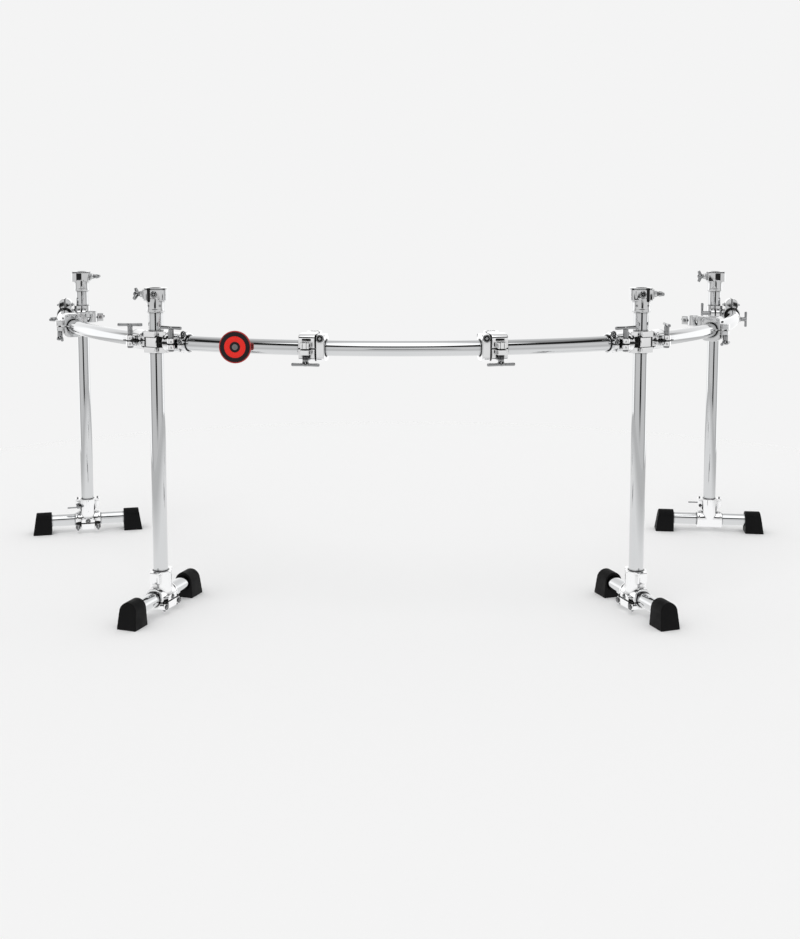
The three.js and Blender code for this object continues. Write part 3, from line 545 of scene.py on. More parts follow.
def t_bolt(barrel, length, handle, handle_length, stem, flare=0.0, slide=0.0, past=0.0):
    """A T-bolt: washer, grooved barrel, and a cross handle through its round head; and its thread.

    The handle can slide to one side, and the head can flare and reach past the length.
    """
    head = length - handle
    hub = max(barrel * 0.92, handle + 1.8) + flare
    outline = [(0, 0), (barrel, 0), (barrel, 1.6), (barrel * 0.9, 2.4)]
    if head - handle > 6:
        outline += [(barrel * 0.72, 4.2), (barrel * 0.72, length * 0.42)]
    outline += [
        (hub * 0.9, head - handle * 1.05), (hub, head - handle * 0.3), (hub, head + handle * 0.2),
        (hub * 0.82, length - handle * 0.35 + past), (hub * 0.45, length + past), (0, length + past),
    ]
    half = handle_length / 2
    bar = lathe([
        (0, -half), (handle * 0.66, -half), (handle, -half + 1.2), (handle * 1.12, -half + 4),
        (handle, -half * 0.35), (handle, half * 0.35), (handle * 1.12, half - 4),
        (handle, half - 1.2), (handle * 0.66, half), (0, half),
    ])
    parts = [moved(bar, towards((slide, 0, head), (1, 0, 0)))]
    if head - handle > 12:
        parts.append(fluted(barrel, 3.4, head - handle * 1.1))
    return cast(join(lathe(outline), *parts), 0.6, 4, 4200), crisp(thread(stem))


def wing_bolt(barrel, length, reach, sweep, stem):
    """A wing bolt: a round hub with two thick swept wings; and its thread."""
    wings = []
    for side in (-1, 1):
        elbow = (side * reach * 0.72, 0, length * 0.62 + sweep * 0.7)
        inner = (side * reach * 0.4, 0, length * 0.5 + sweep * 0.3)
        tip = (side * reach, 0, length * 0.7 + sweep)
        wings.append(join(rod(5.2, (0, 0, length * 0.45), elbow, 40), rod(4.6, inner, tip, 40)))
    hub = lathe([
        (0, 0), (barrel, 0), (barrel, 2), (barrel * 0.86, 3), (barrel * 1.1, length * 0.5),
        (barrel * 0.9, length), (barrel * 0.5, length + 3), (0, length + 3),
    ])
    return cast(join(hub, *wings), 0.6, 5, 4200), crisp(thread(stem))


def neck_rings(radius, height):
    """A stack of washers and a spring round a bolt's neck."""
    rings = 4
    neck = radius * 0.62
    outline = [(0, 0)]
    for k in range(rings):
        low = height * k / rings
        high = height * (k + 0.62) / rings
        outline += [(radius, low), (radius, high), (neck, high), (neck, height * (k + 1) / rings)]
    outline.append((0, height))
    return lathe(outline, 40)


def recess(radius):
    """Painted shade: a dark disc on the floor of the recess round a sunk key screw."""
    return lathe([(0, -0.95), (radius - 1.9, -0.95), (radius - 1.9, -0.3), (0, -0.3)], 40)


def washer(radius):
    return lathe([(0, -0.6), (radius, -0.6), (radius, 0.5), (0, 0.5)], 40)


def key_screw(radius, height=6.5):
    """A key-driven screw: a round flange with a square stub on it."""
    flange = lathe([
        (0, -1), (radius, -1), (radius, 1.2), (radius - 0.5, 1.8), (radius * 0.72, 2.1), (0, 2.1),
    ], 36)
    half = radius * 0.46
    stub = prism(rounded(half, half, 0.7, 3), 1.5, height - 0.5)
    tip = prism(rounded(half - 0.5, half - 0.5, 0.5, 3), height - 0.6, height)
    return together(flange, stub, tip)


def recessed_screw(radius):
    """A large round head with a raised rim, and a square key stub in its recess."""
    cup = lathe([
        (0, -2), (radius, -2), (radius, 1.2), (radius - 0.6, 1.8), (radius - 1.5, 1.8),
        (radius - 1.9, 1.2), (radius - 2.0, -1.0), (0, -1.0),
    ])
    half = radius * 0.33
    stub = prism(rounded(half, half, 0.6, 3), -1.2, 2.2)
    return together(cup, stub)


def hex_nut():
    """A chamfered hexagon nut on a washer, hanging below the seat."""
    radius = 7.4
    height = 5.0
    rim = 1.2
    hexagon = [
        (radius * math.cos(math.pi * k / 3), radius * math.sin(math.pi * k / 3)) for k in range(6)
    ]
    facing = lathe([
        (0, -height), (radius * 0.88, -height), (radius * 1.02, -height + 1.1), (radius * 1.02, 0), (0, 0),
    ])
    body = boolean(prism(hexagon, -height, -rim), [facing], "INTERSECT")
    flat = lathe([
        (STEM_HOLE, -rim), (radius * 1.12, -rim), (radius * 1.12, 0), (STEM_HOLE, 0),
    ], 36, True)
    return together(body, flat)


# Castings
def lug_pair(at):
    """A pair of lugs in front of a sleeve, still joined."""
    return join(
        block((at - LUG_RADIUS, at + LUG_RADIUS), (-LUG_OFFSET, -TUBE_RADIUS), (-LUG_HEIGHT, LUG_HEIGHT)),
        along_z(LUG_RADIUS, -LUG_HEIGHT, LUG_HEIGHT, at, -LUG_OFFSET, SMALL),
    )


def lug_cuts(start, end, at):
    """The slit between two lugs, and the hole for their bolt."""
    front = -LUG_OFFSET - LUG_RADIUS - OVERRUN
    top = LUG_HEIGHT + OVERRUN
    return [
        block((start - OVERRUN, end + OVERRUN), (front, 0), SLIT_SPAN),
        along_z(STEM_HOLE, -top, top, at, -LUG_OFFSET, SMALL),
    ]


def beaded_sleeve(start, end, first_bead=7):
    """A sleeve along X, with a raised bead round each mouth."""
    bead = SLEEVE + 0.3
    return [
        along_x(SLEEVE - 0.9, start, end),
        along_x(bead, start, start + first_bead),
        along_x(bead, end - 6, end),
    ]


def face_outline(left, right):
    """A flat face in front of a clamp's rings, with its corners taken off."""
    depth = 30
    corner = 2
    return [
        (left, 0), (left, corner - depth), (left + corner, -depth),
        (right - corner, -depth), (right, corner - depth), (right, 0),
    ]


def lock_ring():
    """The ring next to the fork, with its pinch lug and the boss of a key screw."""
    front = -LOCK_OUTER - LOCK_LUG
    ends = (LOCK_START - OVERRUN, LOCK_END + OVERRUN)
    ring = join(
        along_x(LOCK_OUTER, LOCK_START, LOCK_END),
        block((LOCK_START, LOCK_END), (front, -TUBE_RADIUS), (-LOCK_LUG_HALF, LOCK_LUG_HALF)),
        along_y(7.4, -16.5, -1, LOCK_MIDDLE, LOCK_CUP_HEIGHT),
    )
    return cut(
        ring,
        along_x(BORE + 0.05, *ends),
        block(ends, (front - OVERRUN, -TUBE_RADIUS / 2), SLIT_SPAN),
    )


def fork_shape():
    """Fork half of a corner clamp: two rings on the leg, a sleeve on the front bar and its lock ring."""
    top = STACK_HEIGHT / 2
    rings = [
        join(
            along_z(SLEEVE, z0, z1),
            block((0, ARM_START + CAST_WALL), (-FORK_ARM_HALF, FORK_ARM_HALF), (z0, z1)),
            prism(face_outline(*FORK_FACE), z0, z1),
        )
        for z0, z1 in ((FORK_LAYER, top), (-top, -FORK_LAYER))
    ]
    body = join(
        *beaded_sleeve(ARM_START, FORK_END),
        *rings,
        lug_pair(FORK_BOLT),
        lock_ring(),
        block((FORK_END - CAST_WALL, LOCK_END), (-6, 6), (TUBE_RADIUS, LOCK_OUTER)),
    )
    return cut(
        body,
        along_z(BORE, -top - OVERRUN, top + OVERRUN),
        along_x(BORE + 0.5, ARM_START - OVERRUN, LOCK_END + OVERRUN),
        *lug_cuts(ARM_START, FORK_END, FORK_BOLT),
    )


def tongue_shape():
    """Tongue half of a corner clamp: a ring between the fork's rings, and a sleeve on the wing bar."""
    low, high = TONGUE_SPAN
    body = join(
        along_z(SLEEVE, low, high),
        moved(prism(face_outline(*TONGUE_FACE), low, high), TONGUE_TURN),
        block((0, ARM_START + CAST_WALL), (-TONGUE_ARM_HALF, TONGUE_ARM_HALF), TONGUE_SPAN),
        *beaded_sleeve(ARM_START, TONGUE_END),
        lug_pair(TONGUE_BOLT),
    )
    return cut(
        body,
        along_z(BORE, low - OVERRUN, high + OVERRUN),
        along_x(BORE + 0.3, ARM_START, TONGUE_END + OVERRUN),
        *lug_cuts(ARM_START, TONGUE_END, TONGUE_BOLT),
    )


LEG_SIDE = (
    Matrix.Translation((0, BACK_OFFSET, BACK_RISE))
    @ Matrix.Rotation(-math.pi / 2, 4, "Z")
    @ Matrix.Rotation(-math.pi / 2, 4, "Y")
)


def right_angle_shape():
    """Clamp that carries the end of a wing bar beside a back leg."""
    half = BACK_LENGTH / 2
    z0, z1 = BACK_RISE - half, BACK_RISE + half
    _, pad_front, pad_height = BAR_BOLT_AT
    body = join(
        *beaded_sleeve(-half, half, first_bead=6),
        along_z(SLEEVE, z0, z1, y=BACK_OFFSET),
        along_y(17, TUBE_RADIUS, BACK_OFFSET - TUBE_RADIUS, sides=ROUND),
        along_x(LOBE_RADIUS, -half, half, z=LOBE_HEIGHT),
        along_y(9.5, pad_front, -BORE, z=pad_height),
        moved(lug_pair(0), LEG_SIDE),
    )
    return cut(
        body,
        along_x(BORE + 0.3, -half - OVERRUN, half + OVERRUN),
        along_z(BORE, z0 - OVERRUN, z1 + OVERRUN, y=BACK_OFFSET),
        block((-half - OVERRUN, half + OVERRUN), SLIT_SPAN, (0, LOBE_HEIGHT + LOBE_RADIUS + OVERRUN)),
        *[moved(hole, LEG_SIDE) for hole in lug_cuts(-half, half, 0)],
    )


def multi_outline(split, far):
    """Half of a block's section, from its split to its far side, with round shoulders."""
    corner = 13.0
    steps = 6
    side = math.copysign(1, far)
    turns = [math.pi / 2 * k / steps for k in range(steps + 1)]
    arc = [
        (MULTI_DEPTH - corner + corner * math.sin(turn), far - side * corner * (1 - math.cos(turn)))
        for turn in turns
    ]
    return [(-MULTI_DEPTH, split), *[(-x, z) for x, z in reversed(arc)], *arc, (MULTI_DEPTH, split)]


def hinge_rod(radius, x0, x1):
    return along_x(radius, x0, x1, HINGE_Y, sides=SMALL)


def accessory_shape():
    """The upright receiver behind a multi clamp, with the lug of its own bolt."""
    bottom = 8
    top = MULTI_TOP
    slit = 1.25
    body = join(
        block((-13, 13), (20, ROD_AT), (bottom, top)),
        along_z(18.9, bottom, top, y=ROD_AT),
        block((-ROD_LUG_HALF, ROD_LUG_HALF), (ROD_AT, ROD_BOLT_Y + 9), (bottom + 2, top - 2)),
    )
    return cut(
        body,
        along_z(12.9, bottom - 2, top + 2.5, y=ROD_AT),
        block((-slit, slit), (ROD_AT, ROD_BOLT_Y + 11.1), (bottom - 2, top + 2.5)),
    )


def multi_body_shape():
    """Upper half of a multi clamp, with its hinge knuckles and the receiver behind it."""
    inset = HALF_KNUCKLE + HINGE_GAP
    slot_top = LUG_HEIGHT + 3
    windowed = cut(
        profile(multi_outline(SLIT / 2, MULTI_TOP), -MULTI_HALF, MULTI_HALF),
        block(MULTI_LUG[0], (-30, -BORE - 2), WINDOW),
    )
    knuckles = [
        join(hinge_rod(KNUCKLE, x0, x1), block((x0, x1), (20, HINGE_Y), (0, KNUCKLE)))
        for x0, x1 in ((-MULTI_HALF, -inset), (inset, MULTI_HALF))
    ]
    hollowed = cut(
        join(windowed, block(*MULTI_LUG, (SLIT / 2, MULTI_LUG_TOP)), *knuckles),
        along_x(BORE + 0.2, -30, 30),
        hinge_rod(KNUCKLE + HINGE_GAP, -inset, inset),
        block((-STEM_HOLE, STEM_HOLE), (-48, -LUG_OFFSET), (0, slot_top)),
        along_z(STEM_HOLE, 0, slot_top, 0, -LUG_OFFSET, SMALL),
    )
    return join(hollowed, accessory_shape())


def multi_jaw_shape():
    """Hinged lower half of a multi clamp."""
    body = join(
        profile(multi_outline(-SLIT / 2, MULTI_BOTTOM), -MULTI_HALF, MULTI_HALF),
        block(*MULTI_LUG, (-LUG_HEIGHT, -SLIT / 2)),
        hinge_rod(KNUCKLE, -HALF_KNUCKLE, HALF_KNUCKLE),
        block((-HALF_KNUCKLE, HALF_KNUCKLE), (20, HINGE_Y), (-KNUCKLE, -SLIT / 2)),
    )
    return cut(
        body,
        along_x(BORE + 0.2, -30, 30),
        along_z(STEM_HOLE, -LUG_HEIGHT - OVERRUN, 0, 0, -LUG_OFFSET, SMALL),
        hinge_rod(KNUCKLE + HINGE_GAP, -MULTI_HALF - OVERRUN, -HALF_KNUCKLE),
        hinge_rod(KNUCKLE + HINGE_GAP, HALF_KNUCKLE, MULTI_HALF + OVERRUN),
    )


def wing_multi_shape():
    """A multi clamp of a wing bar, whose halves are one solid."""
    return join(
        multi_body_shape(),
        multi_jaw_shape(),
        hinge_rod(KNUCKLE + HINGE_GAP, -MULTI_HALF, MULTI_HALF),
        block((-MULTI_HALF, MULTI_HALF), (BORE + 2, MULTI_DEPTH), SLIT_SPAN),
    )


def multi_lock_shape():
    """The ring that stops a multi clamp from sliding along the bar."""
    half = MULTI_LOCK_HALF
    ends = (-half - OVERRUN, half + OVERRUN)
    ring = join(
        profile(multi_outline(0, 34), -half, half),
        profile(multi_outline(0, -33), -half, half),
        along_y(9.8, -28.8, -BORE, z=LOCK_SCREW_HEIGHT),
    )
    return cut(
        ring,
        along_x(BORE + 0.1, *ends),
        block(ends, (0, 30), SLIT_SPAN),
        along_y(7.6, -30, -26.9, z=LOCK_SCREW_HEIGHT),
    )


def receiver_outline(inset=0.0):
    """The receiver's box from above, with its two far corners taken off."""
    near, far, d = RECEIVER_NEAR + inset, RECEIVER_FAR - inset, RECEIVER_DEPTH - inset
    corner = 6.0
    return [
        (near, -d), (far - corner, -d), (far, corner - d), (far, d - corner), (far - corner, d), (near, d),
    ]


def receiver_shape():
    """Receiver on top of a leg: a collar on the tube, a split box, and the jaw that its bolt closes."""
    middle = RECEIVER_MIDDLE
    root = -21.5
    jaw = (root - 9.5, root)
    above = RECEIVER_HIGH + 3
    below = RECEIVER_LOW - 3
    front = (-RECEIVER_DEPTH - 2.5, RECEIVER_GAP_DEPTH)
    collar = lathe([
        (COLLAR_RADIUS, -COLLAR_LENGTH), (24.2, -33.5), (24.2, -28), (23.2, -27), (23.7, -2), (24.2, 0),
    ], ROUND)
    body = join(
        collar,
        prism(receiver_outline(), RECEIVER_LOW, RECEIVER_HIGH),
        along_x(8.4, RECEIVER_BOSS, root, z=middle, sides=SMALL),
        block(jaw, (-12, 12), (RECEIVER_LOW + 4, RECEIVER_HIGH - 4)),
        along_y(7.2, -23.2, -15, z=middle),
    )
    groove = cut(
        prism(receiver_outline(-3), *GROOVE),
        prism(receiver_outline(2.6), GROOVE[0] - 1, GROOVE[1] + 1),
    )
    return cut(
        body,
        along_z(BORE, -COLLAR_LENGTH - OVERRUN, SEAT_GAP),
        along_z(SOCKET_RADIUS, 0, above),
        block(RECEIVER_GAP, front, (below, above)),
        groove,
        block((16.4, 18.2), (front[0], -19), (RECEIVER_LOW + 4, GROOVE[0] - 2)),
        along_x(STEM_HOLE, RECEIVER_BOSS - 2.5, -SOCKET_RADIUS, z=middle, sides=SMALL),
        along_y(5.4, -26, -20.8, z=middle),
    )


def bushing_shape():
    """Black nylon of a receiver, a sleeve in the socket and a flange; and painted shade, black blocks that
    line the slit, fill a slot and mark a window.
    """
    near, far = RECEIVER_GAP
    low = RECEIVER_LOW + 4
    sleeve = lathe([(13.1, 0.6), (14.4, 0.6), (14.4, 26.2), (13.6, 26.8), (13.1, 26.2)], ROUND, True)
    plate = cut(
        prism(receiver_outline(2.8), GROOVE[0] + 0.1, GROOVE[1] - 0.1),
        along_z(SOCKET_RADIUS - 0.05, 0, RECEIVER_HIGH + 3),
        block(
            (near - 0.3, far + 0.3), (-RECEIVER_DEPTH - 2.5, RECEIVER_GAP_DEPTH - 2),
            (RECEIVER_LOW - 3, RECEIVER_HIGH + 3),
        ),
    )
    # Painted shade: the slit's lining, the window and the key are black blocks where there is only shade.
    lining = block(
        (near + 0.1, far - 0.1), (-20.4, RECEIVER_GAP_DEPTH - 0.2),
        (RECEIVER_LOW + 0.2, RECEIVER_HIGH - 0.6),
    )
    window = block((-4, 12), (20.9, 21.9), (low, GROOVE[0] - 1.5))
    key = block((16.5, 18.1), (-20.6, -19.2), (low + 0.1, GROOVE[0] - 2.1))
    return together(sleeve, plate, lining, window, key)


def foot_clamp_shape(flank):
    """The foot's casting, with its cap and lugs on one flank: 1 or -1."""
    axis = FOOT_TUBE_HEIGHT
    flange_low, top = FLANGE
    bolt_x, bolt_z = FOOT_BOLT_AT
    socket_radius = 27
    bead_radius = SLEEVE + 1.0
    bead_start = SADDLE_HALF - 6
    ear_x, ear_radius, ear_low = 27.5, 10, 88
    lug_radius, lug_y = 7.5, flank * 28
    lug_ends = (FOOT_LUG_X - lug_radius, FOOT_LUG_X + lug_radius)
    cap_middle, cap_depth = 30, 34
    ears = [
        join(
            along_y(ear_radius, -EAR_DEPTH, EAR_DEPTH, side * ear_x, ear_low),
            block(
                sorted((side * (ear_x - ear_radius), side * (ear_x + ear_radius))),
                (-EAR_DEPTH, EAR_DEPTH), (ear_low, flange_low),
            ),
        )
        for side in (-1, 1)
    ]
    side_lugs = [
        join(
            block(sorted(side * x for x in lug_ends), sorted((flank * 31, 0)), FOOT_LUG),
            along_z(lug_radius, *FOOT_LUG, side * FOOT_LUG_X, lug_y, SMALL),
        )
        for side in (-1, 1)
    ]
    cap = prism(rounded(21, 17, 6), 0, cap_depth)
    body = join(
        along_x(SLEEVE, -SADDLE_HALF, SADDLE_HALF, z=axis),
        along_x(bead_radius, -SADDLE_HALF, -bead_start, z=axis),
        along_x(bead_radius, bead_start, SADDLE_HALF, z=axis),
        along_z(socket_radius, axis, top),
        *ears,
        prism(rounded(ear_x + ear_radius, 15, 7), flange_low, top),
        along_z(4, 70, 104, 0, flank * 25, SMALL),
        moved(cap, towards((0, 0, cap_middle), (0, flank, 0), (1, 0, 0))),
        *side_lugs,
    )
    ends = (-SADDLE_HALF - OVERRUN, SADDLE_HALF + OVERRUN)
    slit_front = flank * (cap_depth + OVERRUN)
    slit = (FOOT_SLIT_HEIGHT - SLIT / 2, FOOT_SLIT_HEIGHT + SLIT / 2)
    return cut(
        body,
        along_x(BORE, *ends, z=axis),
        along_z(BORE, LEG_BOTTOM - SEAT_GAP, top + 2.5),
        block(ends, sorted((slit_front, flank * TUBE_RADIUS / 2)), slit),
        along_y(STEM_HOLE, -EAR_DEPTH - 3, EAR_DEPTH + 3, bolt_x, bolt_z),
    )


def boot_shape():
    """Rubber boot: arched top, flat sole with grooves, slanted end, and the hole for the tube."""
    length = 58
    half_sole = 27
    sole = 5
    shoulder = 44
    arch_radius = 24
    steps = 24
    arch = [
        (arch_radius * math.cos(math.pi * k / steps), shoulder + arch_radius * math.sin(math.pi * k / steps))
        for k in range(steps + 1)
    ]
    outline = [(half_sole, 0), (half_sole, sole), *arch, (-half_sole, sole), (-half_sole, 0)]
    lean = Matrix.Rotation(-math.atan2(11, shoulder + arch_radius), 4, "Y")
    end = moved(block((0, 60), (-60, 60), (-80, 140)), Matrix.Translation((length, 0, 0)) @ lean)
    pitch = 9
    grooves = [block((6 + pitch * k, 10.5 + pitch * k), (-21, 21), (-1, 1.4)) for k in range(5)]
    hole = along_x(TUBE_RADIUS + SEAT_GAP, -OVERRUN, BOOT_DEPTH, z=FOOT_TUBE_HEIGHT)
    return cut(profile(outline, 0, length), end, hole, *grooves)


# Materials
class Nodes:
    """Adds shader nodes to a tree. An input takes a plain value or another node's output."""

    def __init__(self, tree):
        self.tree = tree

    def feed(self, node, inputs):
        for name, value in inputs.items():
            if isinstance(value, bpy.types.NodeSocket):
                self.tree.links.new(value, node.inputs[name])
            else:
                node.inputs[name].default_value = value

    def add(self, kind, inputs=None):
        node = self.tree.nodes.new(f"ShaderNode{kind}")
        self.feed(node, inputs or {})
        return node

    def math(self, operation, *values):
        node = self.add("Math")
        node.operation = operation
        self.feed(node, dict(enumerate(values)))
        return node.outputs[0]

    def noise(self, scale, detail=3.0):
        place = self.add("TexCoord").outputs["Object"]
        return self.add("TexNoise", {"Vector": place, "Scale": scale, "Detail": detail}).outputs["Fac"]

    def ranged(self, value, low, high, first=0.0, second=1.0, soft=False):
        """A number that goes from first to second as the value goes from low to high."""
        node = self.add("MapRange")
        if soft:
            node.interpolation_type = "SMOOTHSTEP"
        self.feed(node, {
            "Value": value, "From Min": low, "From Max": high, "To Min": first, "To Max": second,
        })
        return node.outputs["Result"]

    def blend(self, share, first, second):
        """A colour from first to second as the share goes from 0 to 1."""
        node = self.add("Mix")
        node.data_type = "RGBA"
        self.feed(node, {"Factor": share, "A": first, "B": second})
        return node.outputs["Result"]

    def bumps(self, height, strength, distance):
        inputs = {"Strength": strength, "Distance": distance, "Height": height}
        return self.add("Bump", inputs).outputs["Normal"]


def skin(name):
    """A new material, its nodes and its shader."""
    made = bpy.data.materials.new(name)
    made.use_nodes = True
    return made, Nodes(made.node_tree), made.node_tree.nodes["Principled BSDF"]


# The range that noise mostly stays in
USUAL_NOISE = (0.35, 0.65)


def chrome(name, dark, light, roughness, grain, height, painted_shade_reach):
    """Polished metal, with shade painted into its colour deep in its corners."""
    made, nodes, shader = skin(name)
    cloud = nodes.noise(9.0)
    colour = nodes.blend(cloud, (*dark, 1), (*light, 1))
    # Painted shade: ambient occlusion blends the base colour towards near black in corners and creases.
    painted_shade_probe = nodes.add("AmbientOcclusion", {"Distance": painted_shade_reach})
    painted_shade_probe.samples = 6
    unshaded_share = nodes.ranged(painted_shade_probe.outputs["AO"], 0.45, 0.93, 0.04)
    nodes.feed(shader, {
        "Base Color": nodes.blend(unshaded_share, (0.02, 0.02, 0.022, 1), colour),
        "Roughness": nodes.ranged(cloud, *USUAL_NOISE, *roughness),
        "Normal": nodes.bumps(nodes.noise(grain, 2.0), 0.25, height),
        "Metallic": 1.0,
    })
    return made


def moulded(name, first, second, roughness, specular=0.2, coat=0.0, drift=120.0, grain=None, bump=None):
    """Rubber or plastic. Its bumps follow its colour's drift unless it has a grain of its own."""
    made, nodes, shader = skin(name)
    cloud = nodes.noise(drift)
    strength, height = bump or (0.2, 0.00005)
    nodes.feed(shader, {
        "Base Color": nodes.blend(cloud, (*first, 1), (*second, 1)),
        "Roughness": nodes.ranged(cloud, *USUAL_NOISE, *roughness),
        "Normal": nodes.bumps(nodes.noise(grain, 2.0) if grain else cloud, strength, height),
        "Specular IOR Level": specular,
        "Coat Weight": coat,
        "Coat Roughness": 0.06,
    })
    return made


# The last number of each chrome is how far the painted shade in its corners reaches.
TUBE_CHROME = chrome(
    "tube_chrome", (0.63, 0.64, 0.65), (0.68, 0.685, 0.69), (0.03, 0.06), 60.0, 0.00001, 0.006,
)
CAST_CHROME = chrome(
    "cast_chrome", (0.90, 0.905, 0.91), (0.95, 0.95, 0.955), (0.05, 0.09), 240.0, 0.00003, 0.009,
)
# Painted shade: a darker copy of the cast chrome, for the receivers, the back clamps and the wing bars' multi
# clamps.
SHADED_CAST_CHROME = chrome(
    "shaded_cast_chrome", (0.65, 0.655, 0.66), (0.74, 0.745, 0.75), (0.04, 0.08), 240.0, 0.00003, 0.008,
)
BOLT_CHROME = chrome(
    "bolt_chrome", (0.29, 0.295, 0.30), (0.39, 0.395, 0.40), (0.07, 0.13), 320.0, 0.00003, 0.006,
)
# Dark steel for threads and the bolts' necks, and the black of the painted shade on the floors of screw
# recesses.
DARK_STEEL_AND_SHADE = chrome(
    "dark_steel_and_shade", (0.035, 0.035, 0.038), (0.07, 0.07, 0.073), (0.25, 0.35), 320.0, 0.00004, 0.004,
)
RUBBER = moulded(
    "boot_rubber_skin", (0.0022, 0.0022, 0.0024), (0.005, 0.005, 0.0053), (0.52, 0.68),
    specular=0.12, drift=35.0, grain=900.0, bump=(0.5, 0.0003),
)
# Black nylon for the washers and the receivers' sleeves, and the black of the painted shade in slits, gaps,
# recesses and mouths.
NYLON_AND_SHADE = moulded("black_nylon_and_shade", (0.006, 0.006, 0.006), (0.014, 0.014, 0.014), (0.4, 0.55))
RED = moulded("badge_red", (0.68, 0.016, 0.010), (0.78, 0.024, 0.015), (0.22, 0.34), coat=0.1)
RIM_RED = moulded("badge_rim_red", (0.34, 0.022, 0.022), (0.44, 0.034, 0.03), (0.18, 0.28), coat=0.3)
FACE_BLACK = moulded("badge_black", (0.008, 0.005, 0.006), (0.016, 0.011, 0.013), (0.24, 0.36))
HUB_GREY = moulded("badge_grey", (0.12, 0.12, 0.12), (0.19, 0.19, 0.19), (0.28, 0.4))

# Shapes, made once
LEG_TUBE = crisp(straight_tube(LEG_TOP - LEG_BOTTOM))
FOOT_TUBE = crisp(moved(
    straight_tube(FOOT_TUBE_LENGTH),
    Matrix.Translation((-FOOT_TUBE_LENGTH / 2, 0, FOOT_TUBE_HEIGHT)) @ Matrix.Rotation(math.pi / 2, 4, "Y"),
))
FORK = cast(fork_shape(), faces=12000)
TONGUE = cast(tongue_shape())
RIGHT_ANGLE = cast(right_angle_shape(), faces=12000)
MULTI_BODY = cast(multi_body_shape(), faces=12000)
MULTI_JAW = cast(multi_jaw_shape(), faces=7000)
WING_MULTI = cast(wing_multi_shape(), faces=15000)
MULTI_LOCK = cast(multi_lock_shape(), faces=6000)
RECEIVER = cast(receiver_shape())
FOOT_CLAMP = {
    "front": cast(foot_clamp_shape(1), faces=12000),
    "back": cast(foot_clamp_shape(-1), faces=12000),
}
BOOT = cast(boot_shape(), 1.1, 12, 5000)
BUSHING = crisp(bushing_shape())
NUT = crisp(hex_nut())
KEY_SMALL = crisp(key_screw(4.2))
KEY_LARGE = crisp(key_screw(5.4, 6.0))
LARGE_CUP = (crisp(recessed_screw(9.0)), 9.7, crisp(recess(9.0)))
SMALL_CUP = (crisp(recessed_screw(6.5)), 7.7, crisp(recess(6.5)))
SET_SCREW = crisp(lathe([
    (0, -1), (2.6, -1), (2.6, 1.0), (2.2, 1.4), (1.4, 1.4), (1.2, 0.2), (0, 0.2),
], 24))
SADDLE = crisp(block(
    (0.3 - STEM_HOLE, STEM_HOLE - 0.3), (-46.2, -STEM_HOLE - LUG_OFFSET), (SLIT / 2 + 0.3, MULTI_LUG_TOP),
))
HINGE_PIN = crisp(lathe([
    (0, -22.2), (2.2, -22.2), (2.6, -21.6), (2.6, 21.6), (2.2, 22.2), (0, 22.2),
], 32))
MULTI_NECK = crisp(neck_rings(7.6, 11))
CORNER_BOLT = t_bolt(6.8, 30, 3.8, 64, 22)
BAR_BOLT = t_bolt(6.8, 20, 3.8, 48, 6)
MULTI_BOLT = t_bolt(7.2, 27, 3.7, 70, 25, flare=3.4)
ROD_BOLT = t_bolt(5.8, 14, 3.6, 38, 14, past=6)
HEAD_BOLT = wing_bolt(6.4, 14, 17, 3.5, 14)
FOOT_BOLT = t_bolt(5.0, 20, 2.3, 42, 24, slide=12.5)


class Seat:
    """A place on the rack where the pieces of one casting are put, each riding on a body.

    Shapes are made for the left half and mirrored for the right. The wing bars' castings are the other
    way round, because the frame turns them over. A star in a name stands for the seat's tag.
    """

    def __init__(self, side, place, body, other=False, tag=None):
        x, y, z, heading = place
        if side == "right":
            x, heading = -x, math.pi - heading
        where = Matrix.Translation(SHIFT + Vector((x, y, z)) * MM)
        self.matrix = where @ Matrix.Rotation(heading, 4, "Z") @ Matrix.Scale(MM, 4)
        self.turned = (side == "right") != other
        self.body = body
        self.tag = tag or side

    def put(self, name, hands, look, *nodes, local=None, body=None):
        """Puts a shape, at a local matrix in its casting, and names the solids it stands for."""
        matrix = self.matrix
        if local is not None:
            matrix = matrix @ (MIRROR @ local @ MIRROR if self.turned else local)
        name, body, *nodes = [text.replace("*", self.tag) for text in (name, body or self.body, *nodes)]
        mesh = hands["mirror" if self.turned else "plain"].copy()
        mesh.transform(matrix)
        mesh.name = name
        mesh.materials.clear()
        mesh.materials.append(look)
        o = linked(name, mesh)
        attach(o, body)
        if nodes:
            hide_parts(*nodes)

    def bolt(self, name, made, local, node=None, thread_look=DARK_STEEL_AND_SHADE):
        """A bolt and its thread. One that turns rides on the body named like its solid."""
        head, screw = made
        nodes = (node,) if node else ()
        self.put(name, head, BOLT_CHROME, *nodes, local=local, body=node)
        self.put(f"{name}_thread", screw, thread_look, local=local, body=node)

    def screw(self, name, shape, start, direction, look=BOLT_CHROME):
        self.put(name, shape, look, local=towards(start, direction))

    def washer(self, name, radius, start, direction):
        """A black washer under a screw's flange."""
        self.screw(name, crisp(washer(radius)), start, direction, NYLON_AND_SHADE)

    def cup(self, name, sizes, start, direction):
        """A recessed screw with its washer, and a dark disc of painted shade on the floor of its recess."""
        shape, washer_radius, floor = sizes
        self.screw(name, shape, start, direction)
        self.washer(f"{name}_washer", washer_radius, start, direction)
        self.screw(f"{name}_recess", floor, start, direction, DARK_STEEL_AND_SHADE)

    def shade_fill(self, name, mesh):
        """Painted shade: a black block in a slit, gap or recess, or a black ring round a mouth, where there
        is only shade.
        """
        self.put(name, crisp(mesh), NYLON_AND_SHADE)


def spun(name):
    return Matrix.Rotation(math.radians(TIGHTENED[name]), 4, "Z")


